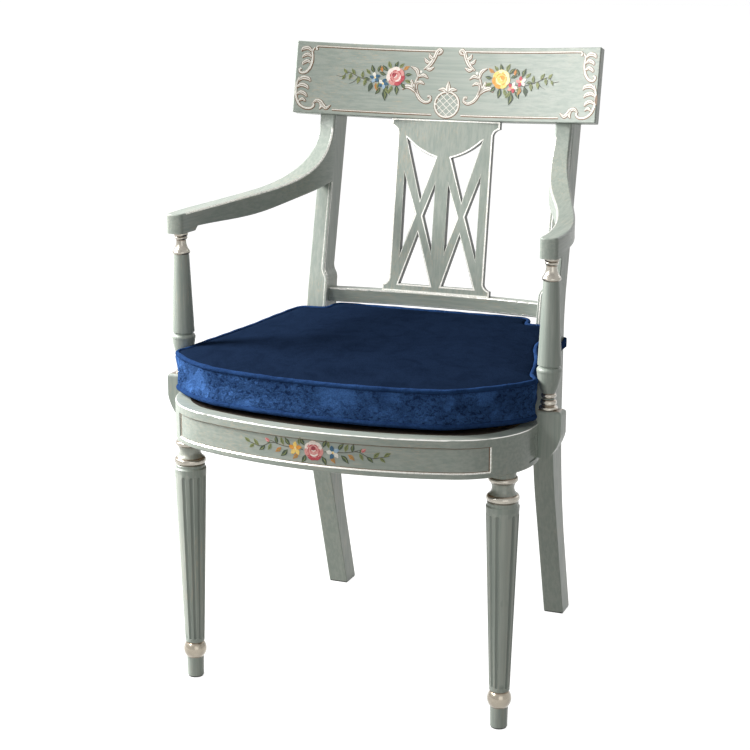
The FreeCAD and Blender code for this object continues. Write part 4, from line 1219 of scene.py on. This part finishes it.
def make_cushion():
    obj = link(bpy.data.objects.new("cushion_case", nodes["seat_cushion"].data.copy()))
    obj.data.materials.clear()
    low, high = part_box("seat_cushion")
    middle = (low + high) / 2
    base = Vector((middle.x, middle.y, low.z))
    scaled(obj, base, CASE_START)
    remesh = obj.modifiers.new("remesh", "REMESH")
    remesh.mode = "VOXEL"
    remesh.voxel_size = VOXEL
    apply_modifiers(obj)
    inflate(obj)
    settle(obj, low, high)
    even = obj.modifiers.new("even", "SMOOTH")
    even.iterations = 2
    finer = obj.modifiers.new("finer", "SUBSURF")
    finer.levels = 1
    finer.render_levels = 1
    apply_modifiers(obj)
    obj.data.materials.append(velvet_side)
    obj.data.materials.append(velvet_top_shade)
    point, normal = top_of_edge(TOP_FROM)
    # Faces on the top get the darker copy of the velvet: painted shade
    for polygon in obj.data.polygons:
        above = (polygon.center - point).dot(normal) > rear_lift(polygon.center)
        polygon.material_index = 1 if above and polygon.normal.z > 0.2 else 0
    obj.data.shade_smooth()
    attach(obj, "cushion")
    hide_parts("seat_cushion")
    for name, share in WELTS:
        point, normal = top_of_edge(share)
        line = outward(resampled(outline_at(obj, point, normal), WELT_STEP), normal, WELT_OUT)
        line = [at + Vector((0, 0, rear_lift(at) * share)) for at in line]
        make_welt(name, line, normal)


def strap(points, widths, closed):
    """Flat strap with rounded edges along a line of points, its width upright."""
    rings = []
    for (before, point, after), width in zip(neighbours(points, closed), widths):
        along = (after - before).normalized()
        out = along.cross(Vector((0, 0, 1))).normalized()
        rise = out.cross(along).normalized() * (width / 2)
        out *= TIE_THICK / 2
        rings.append([point + rise * up + out * side for up, side in TIE_SECTION])
    return loft(rings, closed)


def knot(centre, radius):
    """Rounded lump of folded strap."""
    work = bmesh.new()
    bmesh.ops.create_icosphere(work, subdivisions=3, radius=1.0)
    for vert in work.verts:
        ridge = 1 + 0.10 * math.sin(5 * vert.co.x + 2.0) * math.cos(4 * vert.co.z)
        vert.co = centre + Vector([a * b for a, b in zip(vert.co, radius)]) * ridge
    verts = [vert.co.copy() for vert in work.verts]
    faces = [tuple(vert.index for vert in face.verts) for face in work.faces]
    work.free()
    return verts, faces


def band_line(low, high, radius, height):
    """Closed level line round a post, with eased corners."""
    points = []
    corners = ((high.x, high.y, 0.0), (low.x, high.y, 0.5), (low.x, low.y, 1.0), (high.x, low.y, 1.5))
    for x, y, turn in corners:
        centre = Vector((x - math.copysign(radius, x - (low.x + high.x) / 2),
                         y - math.copysign(radius, y - (low.y + high.y) / 2), height))
        for step in range(5):
            angle = math.pi * (turn + step / 8)
            points.append(centre + Vector((radius * math.cos(angle), radius * math.sin(angle), 0)))
    return resampled(points, 0.003)


def make_tie(side, node):
    """Strap round a rear post, knotted in front with two loops and two ends."""
    name = "tie_left" if side < 0 else "tie_right"
    low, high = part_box(node)
    height = (low.z + high.z) / 2
    inner = min(abs(low.x), abs(high.x)) + TIE_THICK
    outer = max(abs(low.x), abs(high.x)) - TIE_THICK
    front = low.y + 0.0055
    back = high.y - TIE_THICK
    line = band_line(Vector((inner, front, 0)), Vector((outer, back, 0)), 0.003, height)
    skins = [strap(line, [TIE_WIDTH] * len(line), True)]
    tie = Vector(((inner + outer) / 2 + 0.001, low.y + 0.0022, height))
    turns = [2 * math.pi * step / 16 for step in range(17)]
    reaches = [(1 - math.cos(turn)) / 2 for turn in turns]
    widths = [0.006 + 0.009 * math.sin(math.pi * min(reach * 1.1, 1.0) * 0.5) for reach in reaches]
    for way in (-1, 1):
        loop = [tie + Vector((way * 0.019 * reach, 0.0017 * math.sin(turn), -0.002 * reach * reach))
                for turn, reach in zip(turns, reaches)]
        skins.append(strap(loop, widths, False))
        end = [tie + Vector((way * 0.013 * share, -0.0008 * math.sin(3 * share), -0.016 * share))
               for share in (0, 0.25, 0.5, 0.75, 1.0)]
        skins.append(strap(end, [0.005, 0.007, 0.008, 0.008, 0.008], False))
    skins.append(knot(tie, Vector((0.0048, 0.0026, 0.0052))))
    verts, faces = joined(skins)
    verts = [Vector((side * point.x, point.y, point.z)) for point in verts]
    obj = piece_from(name, (verts, faces), [velvet_welt_shade], "frame")
    obj.data.shade_smooth()
    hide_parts(node)


make_cushion()
make_tie(-1, "cushion_tie_left")
make_tie(1, "cushion_tie_right")
